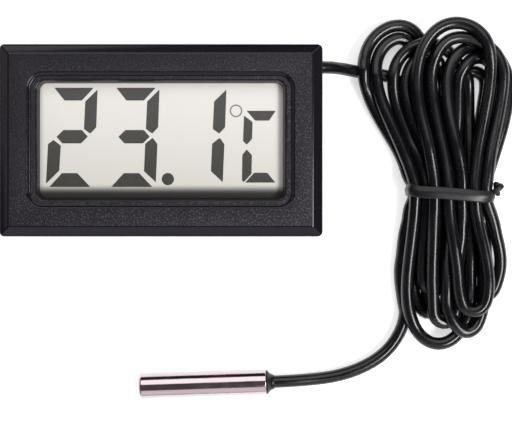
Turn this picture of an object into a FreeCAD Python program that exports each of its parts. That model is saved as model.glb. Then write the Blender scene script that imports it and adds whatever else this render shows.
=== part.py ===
import FreeCAD, Part
import math
import os

import Sketcher

# A panel thermometer on its back: +X to the right, +Y up the display, +Z out of the display.
# The origin is under the middle of the case, on the plane of its rear face. Sizes are in millimetres.

Vector = FreeCAD.Vector

SIZES = [
    ("bezel_length", 48.0, "front bezel, across"),
    ("bezel_width", 28.6, "front bezel, up the display"),
    ("bezel_corner", 0.8, "outer corner radius of the bezel"),
    ("bevel_width", 1.5, "slope round the front face, seen from the front"),
    ("bevel_drop", 0.9, "slope round the front face, in depth"),
    ("flange_thick", 2.0, "front plate, and the flange that meets the panel"),
    ("flange_reach", 1.0, "flange past the case, all round"),
    ("body_corner", 0.6, "corner radius of the case"),
    ("side_wall", 1.2, "case wall"),
    ("step_side", 4.3, "sunk frame's edge from the bezel's, at each end"),
    ("step_margin", 4.35, "sunk frame's edge from the bezel's, above and below"),
    ("step_corner", 2.3, "corner radius of the sunk frame"),
    ("step_depth", 0.35, "depth of the sunk frame"),
    ("step_slope", 0.28, "slope of the sunk frame's edge, seen from the front"),
    ("rim_side", 1.3, "sunk frame, from its edge to the window's, at each end"),
    ("rim_margin", 1.1, "sunk frame, from its edge to the window's, above and below"),
    ("window_corner", 1.1, "corner radius of the window"),
    ("window_flare", 0.3, "how much wider the window is at its front, each side"),
    ("film_thick", 0.2, "polariser and reflector films"),
    ("glass_thick", 0.7, "each display glass"),
    ("film_inset", 0.5, "films inside the edges of their glass"),
    ("glass_margin", 1.1, "front glass from the case wall, above and below"),
    ("glass_ledge", 2.0, "front glass past the rear glass, above and below"),
    ("strip_width", 1.8, "conductive rubber strip"),
    ("strip_height", 2.4, "conductive rubber strip, glass to board"),
    ("board_thick", 1.0, "circuit board"),
    ("board_gap", 0.3, "board edge to case wall"),
    ("board_room", 0.8, "battery tray to board, for what the board's back carries"),
    ("rib_length", 3.6, "ribs beside the display glass"),
    ("boss_radius", 1.2, "screw boss"),
    ("boss_row", 7.6, "screw boss, from the middle, up the display"),
    ("screw_radius", 0.6, "screw shank"),
    ("screw_length", 3.2, "screw shank under the head"),
    ("screw_head_radius", 1.1, "screw head"),
    ("screw_head_thick", 0.7, "screw head"),
    ("thread_gap", 0.05, "round a screw in its boss"),
    ("screw_tip_gap", 0.3, "past a screw's tip in its boss"),
    ("hole_gap", 0.15, "round a screw in the board"),
    ("cover_thick", 1.6, "rear cover plate"),
    ("fit_gap", 0.1, "rear cover's lip inside the case wall"),
    ("lip_thick", 0.9, "rear cover's lip"),
    ("lip_height", 1.2, "rear cover's lip"),
    ("cell_diameter", 11.6, "button cell"),
    ("cell_height", 5.4, "button cell"),
    ("cell_spacing", 0.4, "between the two cells"),
    ("cell_clearance", 0.2, "round a cell in the tray"),
    ("can_wall", 0.3, "button cell can"),
    ("gasket_wall", 0.5, "button cell gasket"),
    ("cap_rise", 0.2, "button cell cap above its can"),
    ("layer_gap", 0.02, "between a cell's own pieces"),
    ("tray_wall", 1.0, "battery tray"),
    ("contact_thick", 0.2, "battery contacts"),
    ("contact_width", 5.0, "battery contacts"),
    ("contact_leg", 1.2, "width of a contact's leg to the board"),
    ("leg_gap", 0.1, "round a contact's leg in the tray"),
    ("contact_gap", 0.05, "cell to contact"),
    ("door_thick", 1.2, "battery cover"),
    ("door_side_gap", 0.2, "battery cover in its opening"),
    ("tongue_thick", 0.5, "battery cover's tongues"),
    ("tongue_reach", 0.6, "battery cover's tongues, past its sides"),
    ("tongue_level", 0.55, "battery cover's tongues above the rear face"),
    ("groove_gap", 0.05, "round a tongue in its groove"),
    ("grip_count", 5, "finger grooves in the battery cover"),
    ("grip_pitch", 1.3, "finger grooves"),
    ("grip_depth", 0.3, "finger grooves"),
    ("clip_width", 6.8, "snap clip tongue"),
    ("clip_thick", 1.0, "snap clip tongue"),
    ("clip_root", 3.1, "hinge line of a snap clip above the rear face"),
    ("clip_reach", 0.9, "snap clip's catch past the case"),
    ("clip_slope", 3.4, "length of the catch's ramp"),
    ("clip_land", 0.6, "flat at the catch's nose"),
    ("panel_gap", 2.3, "flange to the catch, for the panel's thickness"),
    ("clip_gap", 0.25, "round a snap clip in its slot"),
    ("clip_sweep", 1.2, "board cut back for the snap clip's travel"),
    ("cord_diameter", 2.0, "sensor cord"),
    ("cord_level", 6.5, "cord hole above the rear face"),
    ("cord_edge", 1.7, "cord hole's middle from the case's upper side"),
    ("cord_hole_gap", 0.12, "round the cord in its hole"),
    ("lead_radius", 0.4, "insulated sensor wires inside the cord"),
    ("lead_pitch", 0.9, "between the two wires"),
    ("lead_inset", 0.1, "the wires below the cord's middle"),
    ("pad_inset", 7.2, "first solder pad from the case wall"),
    ("pad_pitch", 3.0, "between the two solder pads"),
    ("pad_drop", 3.6, "solder pads below the cord hole"),
    ("solder_height", 0.4, "solder joints"),
    ("solder_radius", 0.9, "solder joints, at the board"),
    ("glue_length", 2.4, "glue bead that anchors the cord, along the wires"),
    ("glue_width", 2.2, "glue bead that anchors the cord, across"),
    ("glue_round", 0.6, "glue bead's free edges"),
    ("hank_height", 6.6, "tied cord, above the surface it lies on"),
    ("hank_round", 1.6, "rounding of the tied cord's outer shape"),
    ("tie_width", 1.9, "twist tie"),
    ("tie_thick", 0.6, "twist tie"),
    ("probe_diameter", 4.0, "steel probe"),
    ("probe_length", 20.0, "steel probe"),
    ("probe_wall", 0.25, "steel probe"),
    ("probe_edge", 0.5, "rounding of the probe's closed end"),
    ("seal_depth", 2.4, "resin inside the probe's mouth"),
    ("seal_nose", 1.3, "resin outside the probe's mouth"),
    ("seal_lip", 0.25, "resin round the cord at the nose's end"),
    ("bead_radius", 0.8, "thermistor bead"),
    ("bead_inset", 3.2, "thermistor bead from the probe's closed end"),
    ("leg_radius", 0.15, "thermistor legs"),
    ("leg_pitch", 0.7, "between the thermistor legs"),
    ("leg_sink", 0.15, "thermistor legs inside the bead"),
    ("chip_cap_radius", 3.4, "resin cap over the chip"),
    ("chip_cap_rise", 1.1, "resin cap over the chip"),
    ("resistor_length", 2.0, "chip resistors"),
    ("resistor_width", 1.25, "chip resistors"),
    ("resistor_height", 0.5, "chip resistors"),
    ("capacitor_length", 3.2, "chip capacitors"),
    ("capacitor_width", 1.6, "chip capacitors"),
    ("capacitor_height", 1.1, "chip capacitors"),
    ("part_pitch", 2.3, "between small parts in a column on the board"),
    ("part_margin", 1.5, "first small part from the board's upper edge"),
]

# Levels, lengths and rows that follow from the sizes above, from the rear face forwards.
PLACES = [
    ("cell_foot", "sizes.door_thick + sizes.contact_thick + sizes.contact_gap"),
    ("cell_top", "cell_foot + sizes.cell_height"),
    ("tray_ceiling", "cell_top + sizes.contact_gap + sizes.contact_thick"),
    ("tray_top", "tray_ceiling + sizes.tray_wall"),
    ("board_back", "tray_top + sizes.board_room"),
    ("board_front", "board_back + sizes.board_thick"),
    ("front_glass_back", "board_front + sizes.strip_height"),
    ("rear_glass_back", "front_glass_back - sizes.glass_thick"),
    ("reflector_back", "rear_glass_back - sizes.film_thick"),
    ("flange_back", "front_glass_back + sizes.glass_thick + sizes.film_thick"),
    ("front_face", "flange_back + sizes.flange_thick"),
    ("bevel_foot", "front_face - sizes.bevel_drop"),
    ("step_floor", "front_face - sizes.step_depth"),
    ("body_length", "sizes.bezel_length - 2 * sizes.flange_reach"),
    ("body_width", "sizes.bezel_width - 2 * sizes.flange_reach"),
    ("inner_length", "body_length - 2 * sizes.side_wall"),
    ("inner_width", "body_width - 2 * sizes.side_wall"),
    ("step_length", "sizes.bezel_length - 2 * sizes.step_side"),
    ("step_width", "sizes.bezel_width - 2 * sizes.step_margin"),
    ("window_length", "step_length - 2 * sizes.rim_side"),
    ("window_width", "step_width - 2 * sizes.rim_margin"),
    ("boss_column", "inner_length / 2 - sizes.boss_radius"),
    ("glass_length", "inner_length - 4 * (sizes.boss_radius + sizes.fit_gap)"),
    ("front_glass_width", "inner_width - 2 * sizes.glass_margin"),
    ("rear_glass_width", "front_glass_width - 2 * sizes.glass_ledge"),
    ("strip_row", "(front_glass_width + rear_glass_width) / 4"),
    ("board_length", "inner_length - 2 * sizes.board_gap"),
    ("board_width", "inner_width - 2 * sizes.board_gap"),
    ("cell_pitch", "sizes.cell_diameter + sizes.cell_spacing"),
    ("tray_inner_length", "cell_pitch + sizes.cell_diameter + 2 * sizes.cell_clearance"),
    ("tray_inner_width", "sizes.cell_diameter + 2 * sizes.cell_clearance"),
    ("tray_row", "sizes.fit_gap + sizes.tray_wall + (tray_inner_width - inner_width) / 2"),
    ("door_head", "tray_row + tray_inner_width / 2"),
    ("door_width", "door_head + body_width / 2"),
    ("door_middle", "(door_head - body_width / 2) / 2"),
    ("catch_level", "flange_back - sizes.panel_gap"),
    ("clip_face", "body_length / 2"),
    ("cord_row", "body_width / 2 - sizes.cord_edge"),
]

# The cord's own route, from inside the case wall to the tied hank, and from the hank to the probe.
# These points are chosen by hand: the cord drops to the surface, then lies on it.
LEAD_ROUTE = [
    (21.9, 11.6, 6.5),
    (25.6, 11.85, 6.4),
    (28.6, 11.65, 5.0),
    (31.6, 11.3, 3.2),
]
TAIL_ROUTE = [
    (13.4, -37.467, 2.0),
    (18.1, -37.309, 2.0),
    (22.8, -37.05, 1.35),
    (26.8, -36.6, 1.03),
    (30.8, -35.3, 1.03),
    (34.3, -33.2, 1.03),
    (36.7, -30.2, 1.03),
    (37.8, -26.8, 1.2),
]
PROBE_TIP = (-4.3, -38.06)
PROBE_TURN = 1.92

# The tied cord's outer shape, anticlockwise from the tie: two fans of loops above it, one below.
HANK_OUTLINE = [
    (50.4, -8.2),
    (50.9, -3.3),
    (52.9, 2.6),
    (53.8, 8.9),
    (52.1, 14.6),
    (49.3, 18.8),
    (45.4, 20.1),
    (41.0, 18.9),
    (36.8, 19.7),
    (32.6, 17.9),
    (30.2, 13.8),
    (30.4, 9.6),
    (32.6, 4.6),
    (36.6, -2.4),
    (38.1, -7.3),
    (37.2, -13.6),
    (35.9, -20.0),
    (37.1, -26.0),
    (39.4, -31.0),
    (42.9, -32.3),
    (47.6, -31.0),
    (50.4, -27.6),
    (51.8, -23.0),
    (53.2, -18.6),
    (52.2, -13.4),
]
TIE_PLACE = (44.2, -7.8)
TIE_TURN = -5.5
TIE_LENGTH = 12.5
TIE_END_LENGTH = 3.0
TIE_END_DIRECTION = (0.35, 1, -0.1)


def add_sheets(doc):
    """Puts the driving sizes in one sheet, as plain numbers, and what follows from them in another."""
    sizes = doc.addObject("Spreadsheet::Sheet", "sizes")
    for row, (alias, value, note) in enumerate(SIZES, start=1):
        sizes.set(f"A{row}", alias)
        sizes.set(f"B{row}", str(value))
        sizes.set(f"C{row}", note)
        sizes.setAlias(f"B{row}", alias)
    places = doc.addObject("Spreadsheet::Sheet", "places")
    for row, (alias, formula) in enumerate(PLACES, start=1):
        places.set(f"A{row}", alias)
        places.set(f"B{row}", "=" + formula)
        places.setAlias(f"B{row}", alias)
    doc.recompute()
    return sizes, places


def number(owner, expression):
    """The value of an expression, as a plain number."""
    value = owner.evalExpression(str(expression))
    return float(getattr(value, "Value", value))


def bind(item, name, expression):
    """Ties one property of an object to an expression."""
    item.setExpression(name, str(expression))


def new_body(doc, label):
    """An empty PartDesign body that will be written as one node."""
    body = doc.addObject("PartDesign::Body", label)
    body.Label = label
    return body


def new_sketch(body, name, x=0, y=0, z=0, plane="XY_Plane"):
    """A sketch on one of the body's own planes, its origin moved to x, y, z of that plane."""
    sketch = body.newObject("Sketcher::SketchObject", name)
    base = next(item for item in body.Origin.OriginFeatures if item.Role == plane)
    sketch.AttachmentSupport = [(base, "")]
    sketch.MapMode = "FlatFace"
    for axis, expression in zip("xyz", (x, y, z)):
        bind(sketch, f"AttachmentOffset.Base.{axis}", expression)
    return sketch


def constrain(sketch, *description, expression=None):
    """Adds one constraint, tied to an expression where it has a size."""
    index = sketch.addConstraint(Sketcher.Constraint(*description))
    if expression is not None:
        bind(sketch, f"Constraints[{index}]", expression)


def draw_rectangle(sketch, length, width, corner=None):
    """A rectangle about the sketch's origin, with rounded corners where a radius is given."""
    half_length = number(sketch, length) / 2
    half_width = number(sketch, width) / 2
    radius = number(sketch, corner) if corner else 0
    inner_x = half_length - radius
    inner_y = half_width - radius
    ends = [
        (Vector(-inner_x, -half_width), Vector(inner_x, -half_width)),
        (Vector(half_length, -inner_y), Vector(half_length, inner_y)),
        (Vector(inner_x, half_width), Vector(-inner_x, half_width)),
        (Vector(-half_length, inner_y), Vector(-half_length, -inner_y)),
    ]
    sides = [sketch.addGeometry(Part.LineSegment(*pair)) for pair in ends]
    bottom, right, top, left = sides
    constrain(sketch, "Horizontal", bottom)
    constrain(sketch, "Vertical", right)
    constrain(sketch, "Horizontal", top)
    constrain(sketch, "Vertical", left)
    if corner:
        centres = [
            Vector(inner_x, -inner_y),
            Vector(inner_x, inner_y),
            Vector(-inner_x, inner_y),
            Vector(-inner_x, -inner_y),
        ]
        arcs = []
        for turn, centre in enumerate(centres):
            circle = Part.Circle(centre, Vector(0, 0, 1), radius)
            start = math.radians(90 * turn - 90)
            arcs.append(sketch.addGeometry(Part.ArcOfCircle(circle, start, start + math.pi / 2)))
        for side, arc, following in zip(sides, arcs, sides[1:] + sides[:1]):
            constrain(sketch, "Tangent", side, 2, arc, 1)
            constrain(sketch, "Tangent", arc, 2, following, 1)
        for arc in arcs[1:]:
            constrain(sketch, "Equal", arcs[0], arc)
        constrain(sketch, "Symmetric", arcs[3], 3, arcs[1], 3, -1, 1)
        constrain(sketch, "Radius", arcs[0], radius, expression=corner)
    else:
        for side, following in zip(sides, sides[1:] + sides[:1]):
            constrain(sketch, "Coincident", side, 2, following, 1)
        constrain(sketch, "Symmetric", bottom, 1, top, 1, -1, 1)
    constrain(sketch, "DistanceX", left, 1, right, 1, 2 * half_length, expression=length)
    constrain(sketch, "DistanceY", bottom, 1, top, 1, 2 * half_width, expression=width)


def draw_circle(sketch, radius):
    """A circle about the sketch's origin."""
    value = number(sketch, radius)
    circle = sketch.addGeometry(Part.Circle(Vector(0, 0, 0), Vector(0, 0, 1), value))
    constrain(sketch, "Coincident", circle, 3, -1, 1)
    constrain(sketch, "Radius", circle, value, expression=radius)


def draw_polygon(sketch, points):
    """A closed outline of straight sides, each corner placed from the sketch's origin."""
    corners = [Vector(number(sketch, x), number(sketch, y)) for x, y in points]
    sides = []
    for start, end in zip(corners, corners[1:] + corners[:1]):
        sides.append(sketch.addGeometry(Part.LineSegment(start, end)))
    for side, following in zip(sides, sides[1:] + sides[:1]):
        constrain(sketch, "Coincident", side, 2, following, 1)
    for side, corner, (x, y) in zip(sides, corners, points):
        constrain(sketch, "DistanceX", -1, 1, side, 1, corner.x, expression=x)
        constrain(sketch, "DistanceY", -1, 1, side, 1, corner.y, expression=y)


def pad(body, sketch, length, symmetric=False):
    """Adds the sketch's area as material, along its normal or to both sides of it."""
    feature = body.newObject("PartDesign::Pad", sketch.Name + "_pad")
    feature.Profile = sketch
    feature.SideType = "Symmetric" if symmetric else "One side"
    bind(feature, "Length", length)
    body.Document.recompute()
    return feature


def pocket(body, sketch, length, upward=False, symmetric=False, taper=None):
    """Cuts the sketch's area away, against its normal, along it, or to both sides, and proves it."""
    before = body.Shape.Volume
    feature = body.newObject("PartDesign::Pocket", sketch.Name + "_pocket")
    feature.Profile = sketch
    feature.SideType = "Symmetric" if symmetric else "One side"
    feature.Reversed = upward
    bind(feature, "Length", length)
    if taper:
        bind(feature, "TaperAngle", taper)
    body.Document.recompute()
    if body.Shape.Volume >= before:
        raise ValueError(f"{feature.Name} cuts nothing")
    return feature


def plate(doc, label, length, width, thick, z, corner=None, x=0, y=0):
    """A flat piece of one thickness, its underside at z."""
    body = new_body(doc, label)
    sketch = new_sketch(body, label + "_outline", x, y, z)
    draw_rectangle(sketch, length, width, corner)
    pad(body, sketch, thick)
    return body


def make_front_housing(doc):
    """The case: a bevelled bezel with a sunk window frame, four walls, bosses, slots and cord hole."""
    body = new_body(doc, "front_housing")
    flange = new_sketch(body, "flange", z="places.flange_back")
    draw_rectangle(flange, "sizes.bezel_length", "sizes.bezel_width")
    pad(body, flange, "places.bevel_foot - places.flange_back")
    slope = new_sketch(body, "slope", z="places.bevel_foot")
    draw_rectangle(slope, "sizes.bezel_length", "sizes.bezel_width")
    rise = pad(body, slope, "sizes.bevel_drop")
    bind(rise, "TaperAngle", "-atan(sizes.bevel_width / sizes.bevel_drop)")
    corners = new_sketch(body, "corners", z="places.flange_back")
    draw_rectangle(corners, "2 * sizes.bezel_length", "2 * sizes.bezel_width")
    draw_rectangle(corners, "sizes.bezel_length", "sizes.bezel_width", "sizes.bezel_corner")
    pocket(body, corners, "sizes.flange_thick", upward=True)
    frame = new_sketch(body, "window_frame", z="places.front_face")
    draw_rectangle(frame, "places.step_length", "places.step_width", "sizes.step_corner")
    pocket(body, frame, "sizes.step_depth", taper="-atan(sizes.step_slope / sizes.step_depth)")
    window = new_sketch(body, "window", z="places.step_floor")
    draw_rectangle(
        window,
        "places.window_length",
        "places.window_width",
        "sizes.window_corner + sizes.window_flare",
    )
    flare = "-atan(sizes.window_flare / (places.step_floor - places.flange_back))"
    pocket(body, window, "places.step_floor - places.flange_back", taper=flare)
    walls = new_sketch(body, "walls", z="sizes.cover_thick")
    draw_rectangle(walls, "places.body_length", "places.body_width", "sizes.body_corner")
    draw_rectangle(walls, "places.inner_length", "places.inner_width")
    pad(body, walls, "places.flange_back - sizes.cover_thick")
    for column in (-1, 1):
        for row in (-1, 1):
            add_boss(body, column, row)
            add_glass_rib(body, column, row)
    slots = new_sketch(body, "clip_slots", y="(places.catch_level + sizes.clip_root) / 2", plane="YZ_Plane")
    slot_height = "places.catch_level - sizes.clip_root + sizes.clip_thick + 2 * sizes.clip_gap"
    draw_rectangle(slots, "sizes.clip_width + 2 * sizes.clip_gap", slot_height)
    pocket(body, slots, "2 * places.body_length", symmetric=True)
    hole = new_sketch(body, "cord_hole", "places.cord_row", "sizes.cord_level", "places.clip_face",
                      "YZ_Plane")
    draw_circle(hole, "sizes.cord_diameter / 2 + sizes.cord_hole_gap")
    pocket(body, hole, "sizes.side_wall")
    return body


def add_boss(body, column, row):
    """One screw boss under the front plate, joined to the end wall, with its screw hole."""
    name = f"boss_{column + 1}{row + 1}"
    x = f"{column} * places.boss_column"
    y = f"{row} * sizes.boss_row"
    boss = new_sketch(body, name, x, y, "places.board_front")
    draw_circle(boss, "sizes.boss_radius")
    pad(body, boss, "places.flange_back - places.board_front")
    hole = new_sketch(body, name + "_hole", x, y, "places.board_front")
    draw_circle(hole, "sizes.screw_radius + sizes.thread_gap")
    pocket(body, hole, "sizes.screw_length - sizes.board_thick + sizes.screw_tip_gap", upward=True)


def add_glass_rib(body, column, row):
    """A short rib from a long wall that keeps the display glass from sliding."""
    reach = "sizes.glass_margin - sizes.fit_gap"
    middle = f"{row} * (places.inner_width / 2 - ({reach}) / 2)"
    rib = new_sketch(body, f"rib_{column + 1}{row + 1}", f"{column} * places.window_length / 4", middle,
                     "places.reflector_back")
    draw_rectangle(rib, "sizes.rib_length", reach)
    pad(body, rib, "places.flange_back - places.reflector_back")


def make_rear_cover(doc):
    """The back of the case: plate, lip, open slideway for the battery cover, and the battery tray."""
    body = plate(doc, "rear_cover", "places.body_length", "places.body_width", "sizes.cover_thick", 0,
                 "sizes.body_corner")
    lip = new_sketch(body, "lip", z="sizes.cover_thick")
    outer_length = "places.inner_length - 2 * sizes.fit_gap"
    outer_width = "places.inner_width - 2 * sizes.fit_gap"
    draw_rectangle(lip, outer_length, outer_width)
    draw_rectangle(lip, f"{outer_length} - 2 * sizes.lip_thick", f"{outer_width} - 2 * sizes.lip_thick")
    pad(body, lip, "sizes.lip_height")
    tray = new_sketch(body, "tray", y="places.tray_row", z="sizes.cover_thick")
    draw_rectangle(tray, "places.tray_inner_length + 2 * sizes.tray_wall",
                   "places.tray_inner_width + 2 * sizes.tray_wall")
    pad(body, tray, "places.tray_top - sizes.cover_thick")
    cavity = new_sketch(body, "cavity", y="places.tray_row")
    draw_rectangle(cavity, "places.tray_inner_length", "places.tray_inner_width")
    pocket(body, cavity, "places.tray_ceiling", upward=True)
    make_slideway(body)
    for side in (-1, 1):
        leg = new_sketch(body, f"leg_slot_{side + 1}", f"{side} * places.cell_pitch / 2", "places.tray_row",
                         "places.tray_ceiling")
        draw_rectangle(leg, "sizes.contact_leg + 2 * sizes.leg_gap",
                       "sizes.contact_thick + 2 * sizes.leg_gap")
        pocket(body, leg, "sizes.tray_wall", upward=True)
    return body


def make_slideway(body):
    """The battery cover's opening and its two grooves, all open at the lower edge of the case."""
    overrun = "sizes.side_wall"
    width = f"places.door_width + {overrun}"
    middle = f"places.door_middle - {overrun} / 2 + sizes.fit_gap / 2"
    opening = new_sketch(body, "opening", y=middle)
    draw_rectangle(opening, "places.tray_inner_length", f"{width} + sizes.fit_gap")
    pocket(body, opening, "sizes.cover_thick", upward=True)
    grooves = new_sketch(body, "grooves", y=middle, z="sizes.tongue_level - sizes.groove_gap")
    reach = "sizes.tongue_reach + sizes.groove_gap - sizes.door_side_gap"
    draw_rectangle(grooves, f"places.tray_inner_length + 2 * ({reach})", f"{width} + sizes.fit_gap")
    pocket(body, grooves, "sizes.tongue_thick + 2 * sizes.groove_gap", upward=True)


def make_battery_cover(doc):
    """The sliding cover: a plate with a tongue along each side and finger grooves on its outside."""
    length = "places.tray_inner_length - 2 * sizes.door_side_gap"
    body = plate(doc, "battery_cover", length, "places.door_width", "sizes.door_thick", 0,
                 y="places.door_middle")
    tongues = new_sketch(body, "tongues", y="places.door_middle", z="sizes.tongue_level")
    draw_rectangle(tongues, f"{length} + 2 * sizes.tongue_reach", "places.door_width")
    pad(body, tongues, "sizes.tongue_thick")
    count = int(number(body, "sizes.grip_count"))
    for index in range(count):
        row = f"places.door_middle - {index - (count - 1) / 2} * sizes.grip_pitch"
        grip = new_sketch(body, f"grip_{index}", y=row)
        draw_rectangle(grip, "places.tray_inner_length / 3", "sizes.grip_pitch / 2")
        pocket(body, grip, "sizes.grip_depth", upward=True)
    return body


def make_snap_clips(doc):
    """The right clip, hinged at its rounded root, with a ramp and catch; the left one mirrors it."""
    body = new_body(doc, "snap_clip_right")
    side = new_sketch(body, "clip_side", plane="XZ_Plane")
    inner = "places.clip_face - sizes.clip_thick"
    nose = "places.clip_face + sizes.clip_reach"
    ramp_foot = "places.catch_level - sizes.clip_land - sizes.clip_slope"
    draw_polygon(side, [
        (inner, "sizes.clip_root"),
        ("places.clip_face", "sizes.clip_root"),
        ("places.clip_face", ramp_foot),
        (nose, "places.catch_level - sizes.clip_land"),
        (nose, "places.catch_level"),
        (inner, "places.catch_level"),
    ])
    pad(body, side, "sizes.clip_width", symmetric=True)
    root = new_sketch(body, "clip_root_round", "places.clip_face - sizes.clip_thick / 2", "sizes.clip_root",
                      plane="XZ_Plane")
    draw_circle(root, "sizes.clip_thick / 2")
    pad(body, root, "sizes.clip_width", symmetric=True)
    mirror = doc.addObject("Part::Mirroring", "snap_clip_left")
    mirror.Source = body
    mirror.Normal = (1, 0, 0)
    mirror.Label = "snap_clip_left"
    return [body, mirror]


def make_display(doc):
    """The display's films and glasses, front to back, and the rubber strips to the board."""
    film_length = "places.glass_length - 2 * sizes.film_inset"
    front_film_width = "places.front_glass_width - 2 * sizes.film_inset"
    rear_film_width = "places.rear_glass_width - 2 * sizes.film_inset"
    pieces = [
        plate(doc, "lcd_front_polariser", film_length, front_film_width, "sizes.film_thick",
              "places.flange_back - sizes.film_thick"),
        plate(doc, "lcd_front_glass", "places.glass_length", "places.front_glass_width", "sizes.glass_thick",
              "places.front_glass_back"),
        plate(doc, "lcd_rear_glass", "places.glass_length", "places.rear_glass_width", "sizes.glass_thick",
              "places.rear_glass_back"),
        plate(doc, "lcd_reflector", film_length, rear_film_width, "sizes.film_thick",
              "places.reflector_back"),
    ]
    for label, side in (("rubber_strip_upper", 1), ("rubber_strip_lower", -1)):
        pieces.append(plate(doc, label, film_length, "sizes.strip_width", "sizes.strip_height",
                            "places.board_front", y=f"{side} * places.strip_row"))
    return pieces


def make_circuit_board(doc):
    """The board, with screw holes and its ends cut back where the snap clips swing in."""
    body = plate(doc, "circuit_board", "places.board_length", "places.board_width", "sizes.board_thick",
                 "places.board_back")
    for column in (-1, 1):
        for row in (-1, 1):
            hole = new_sketch(body, f"screw_hole_{column + 1}{row + 1}", f"{column} * places.boss_column",
                              f"{row} * sizes.boss_row", "places.board_back")
            draw_circle(hole, "sizes.screw_radius + sizes.hole_gap")
            pocket(body, hole, "sizes.board_thick", upward=True)
        notch = new_sketch(body, f"clip_notch_{column + 1}", f"{column} * places.board_length / 2", 0,
                           "places.board_back")
        draw_rectangle(notch, "2 * sizes.clip_sweep", "sizes.clip_width + 6 * sizes.clip_gap")
        pocket(body, notch, "sizes.board_thick", upward=True)
    return body


def primitive(doc, kind, name, sizes, x=0, y=0, z=0):
    """A Part primitive with its sizes and its place tied to expressions."""
    item = doc.addObject("Part::" + kind, name)
    for key, expression in sizes.items():
        bind(item, key, expression)
    for axis, expression in zip("xyz", (x, y, z)):
        bind(item, f"Placement.Base.{axis}", expression)
    return item


def group(doc, label, members):
    """Several separate solids that share one node."""
    compound = doc.addObject("Part::Compound", label)
    compound.Links = members
    compound.Label = label
    return compound


def fused(doc, label, members):
    """Several shapes made one solid."""
    fusion = doc.addObject("Part::MultiFuse", label)
    fusion.Shapes = members
    fusion.Label = label
    return fusion


def cut(doc, label, base, tool):
    """One shape less another."""
    result = doc.addObject("Part::Cut", label)
    result.Base = base
    result.Tool = tool
    result.Label = label
    return result


def make_screws(doc):
    """Four self-tapping screws from the board's back into the bosses, each with a slotted head."""
    screws = []
    head_foot = "places.board_back - sizes.screw_head_thick"
    for column in (-1, 1):
        for row in (-1, 1):
            tag = f"{column + 1}{row + 1}"
            x = f"{column} * places.boss_column"
            y = f"{row} * sizes.boss_row"
            shank = primitive(doc, "Cylinder", "shank_" + tag,
                              {"Radius": "sizes.screw_radius", "Height": "sizes.screw_length"},
                              x, y, "places.board_back")
            head = primitive(doc, "Cylinder", "head_" + tag,
                             {"Radius": "sizes.screw_head_radius", "Height": "sizes.screw_head_thick"},
                             x, y, head_foot)
            slot = primitive(doc, "Box", "slot_" + tag,
                             {"Length": "2 * sizes.screw_head_radius", "Width": "sizes.screw_radius / 2",
                              "Height": "sizes.screw_head_thick / 2"},
                             f"{x} - sizes.screw_head_radius", f"{y} - sizes.screw_radius / 4", head_foot)
            blank = fused(doc, "blank_" + tag, [head, shank])
            screws.append(cut(doc, "screw_" + tag, blank, slot))
    return group(doc, "board_screws", screws)


def make_board_parts(doc):
    """The resin cap over the chip, and the small chip resistors and capacitors beside it."""
    free_top = "places.board_width / 2"
    tray_edge = "(places.door_head + sizes.tray_wall)"
    cap = primitive(doc, "Ellipsoid", "chip_resin_cap",
                    {"Radius1": "sizes.chip_cap_rise", "Radius2": "sizes.chip_cap_radius",
                     "Radius3": "sizes.chip_cap_radius"},
                    "-2 * sizes.chip_cap_radius", f"({free_top} + {tray_edge}) / 2", "places.board_back")
    cap.Angle1 = -90
    cap.Angle2 = 0
    groups = []
    for kind, count, column in (("resistor", 3, "0"), ("capacitor", 2, "2 * sizes.resistor_length")):
        boxes = []
        for index in range(count):
            row = f"{free_top} - sizes.part_margin - sizes.{kind}_width - {index} * sizes.part_pitch"
            boxes.append(primitive(doc, "Box", f"{kind}_{index}",
                                   {"Length": f"sizes.{kind}_length", "Width": f"sizes.{kind}_width",
                                    "Height": f"sizes.{kind}_height"},
                                   column, row, f"places.board_back - sizes.{kind}_height"))
        groups.append(group(doc, f"board_{kind}s", boxes))
    return [cap] + groups


def make_cell(doc, side, cap_up):
    """One button cell: a can, the gasket inside its rim, and the cap that the gasket holds."""
    x = f"{side} * places.cell_pitch / 2"
    tag = "left" if side < 0 else "right"
    radius = "sizes.cell_diameter / 2"
    bore = f"({radius} - sizes.can_wall)"
    cap_radius = f"({bore} - sizes.gasket_wall)"
    can_height = "(sizes.cell_height - sizes.cap_rise)"
    rim_height = f"({can_height} - sizes.can_wall)"
    foot = "places.cell_foot" if cap_up else "(places.cell_foot + sizes.cap_rise)"
    well = f"{foot} + sizes.can_wall" if cap_up else foot
    cap_foot = f"{foot} + sizes.can_wall + sizes.layer_gap" if cap_up else "places.cell_foot"
    y = "places.tray_row"
    shell = primitive(doc, "Cylinder", f"can_{tag}", {"Radius": radius, "Height": can_height}, x, y, foot)
    hollow = primitive(doc, "Cylinder", f"can_{tag}_bore", {"Radius": bore, "Height": rim_height}, x, y, well)
    can = cut(doc, f"cell_{tag}_can", shell, hollow)
    gasket_foot = f"{well} + sizes.layer_gap" if cap_up else well
    gasket_height = f"{rim_height} - sizes.layer_gap"
    gasket = cut(doc, f"cell_{tag}_gasket",
                 primitive(doc, "Cylinder", f"gasket_{tag}",
                           {"Radius": f"{bore} - sizes.layer_gap", "Height": gasket_height},
                           x, y, gasket_foot),
                 primitive(doc, "Cylinder", f"gasket_{tag}_bore",
                           {"Radius": cap_radius, "Height": gasket_height}, x, y, gasket_foot))
    cap_height = f"{rim_height} - sizes.layer_gap + sizes.cap_rise"
    cap = primitive(doc, "Cylinder", f"cell_{tag}_cap",
                    {"Radius": f"{cap_radius} - sizes.layer_gap", "Height": cap_height}, x, y, cap_foot)
    return [can, gasket, cap]


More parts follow.
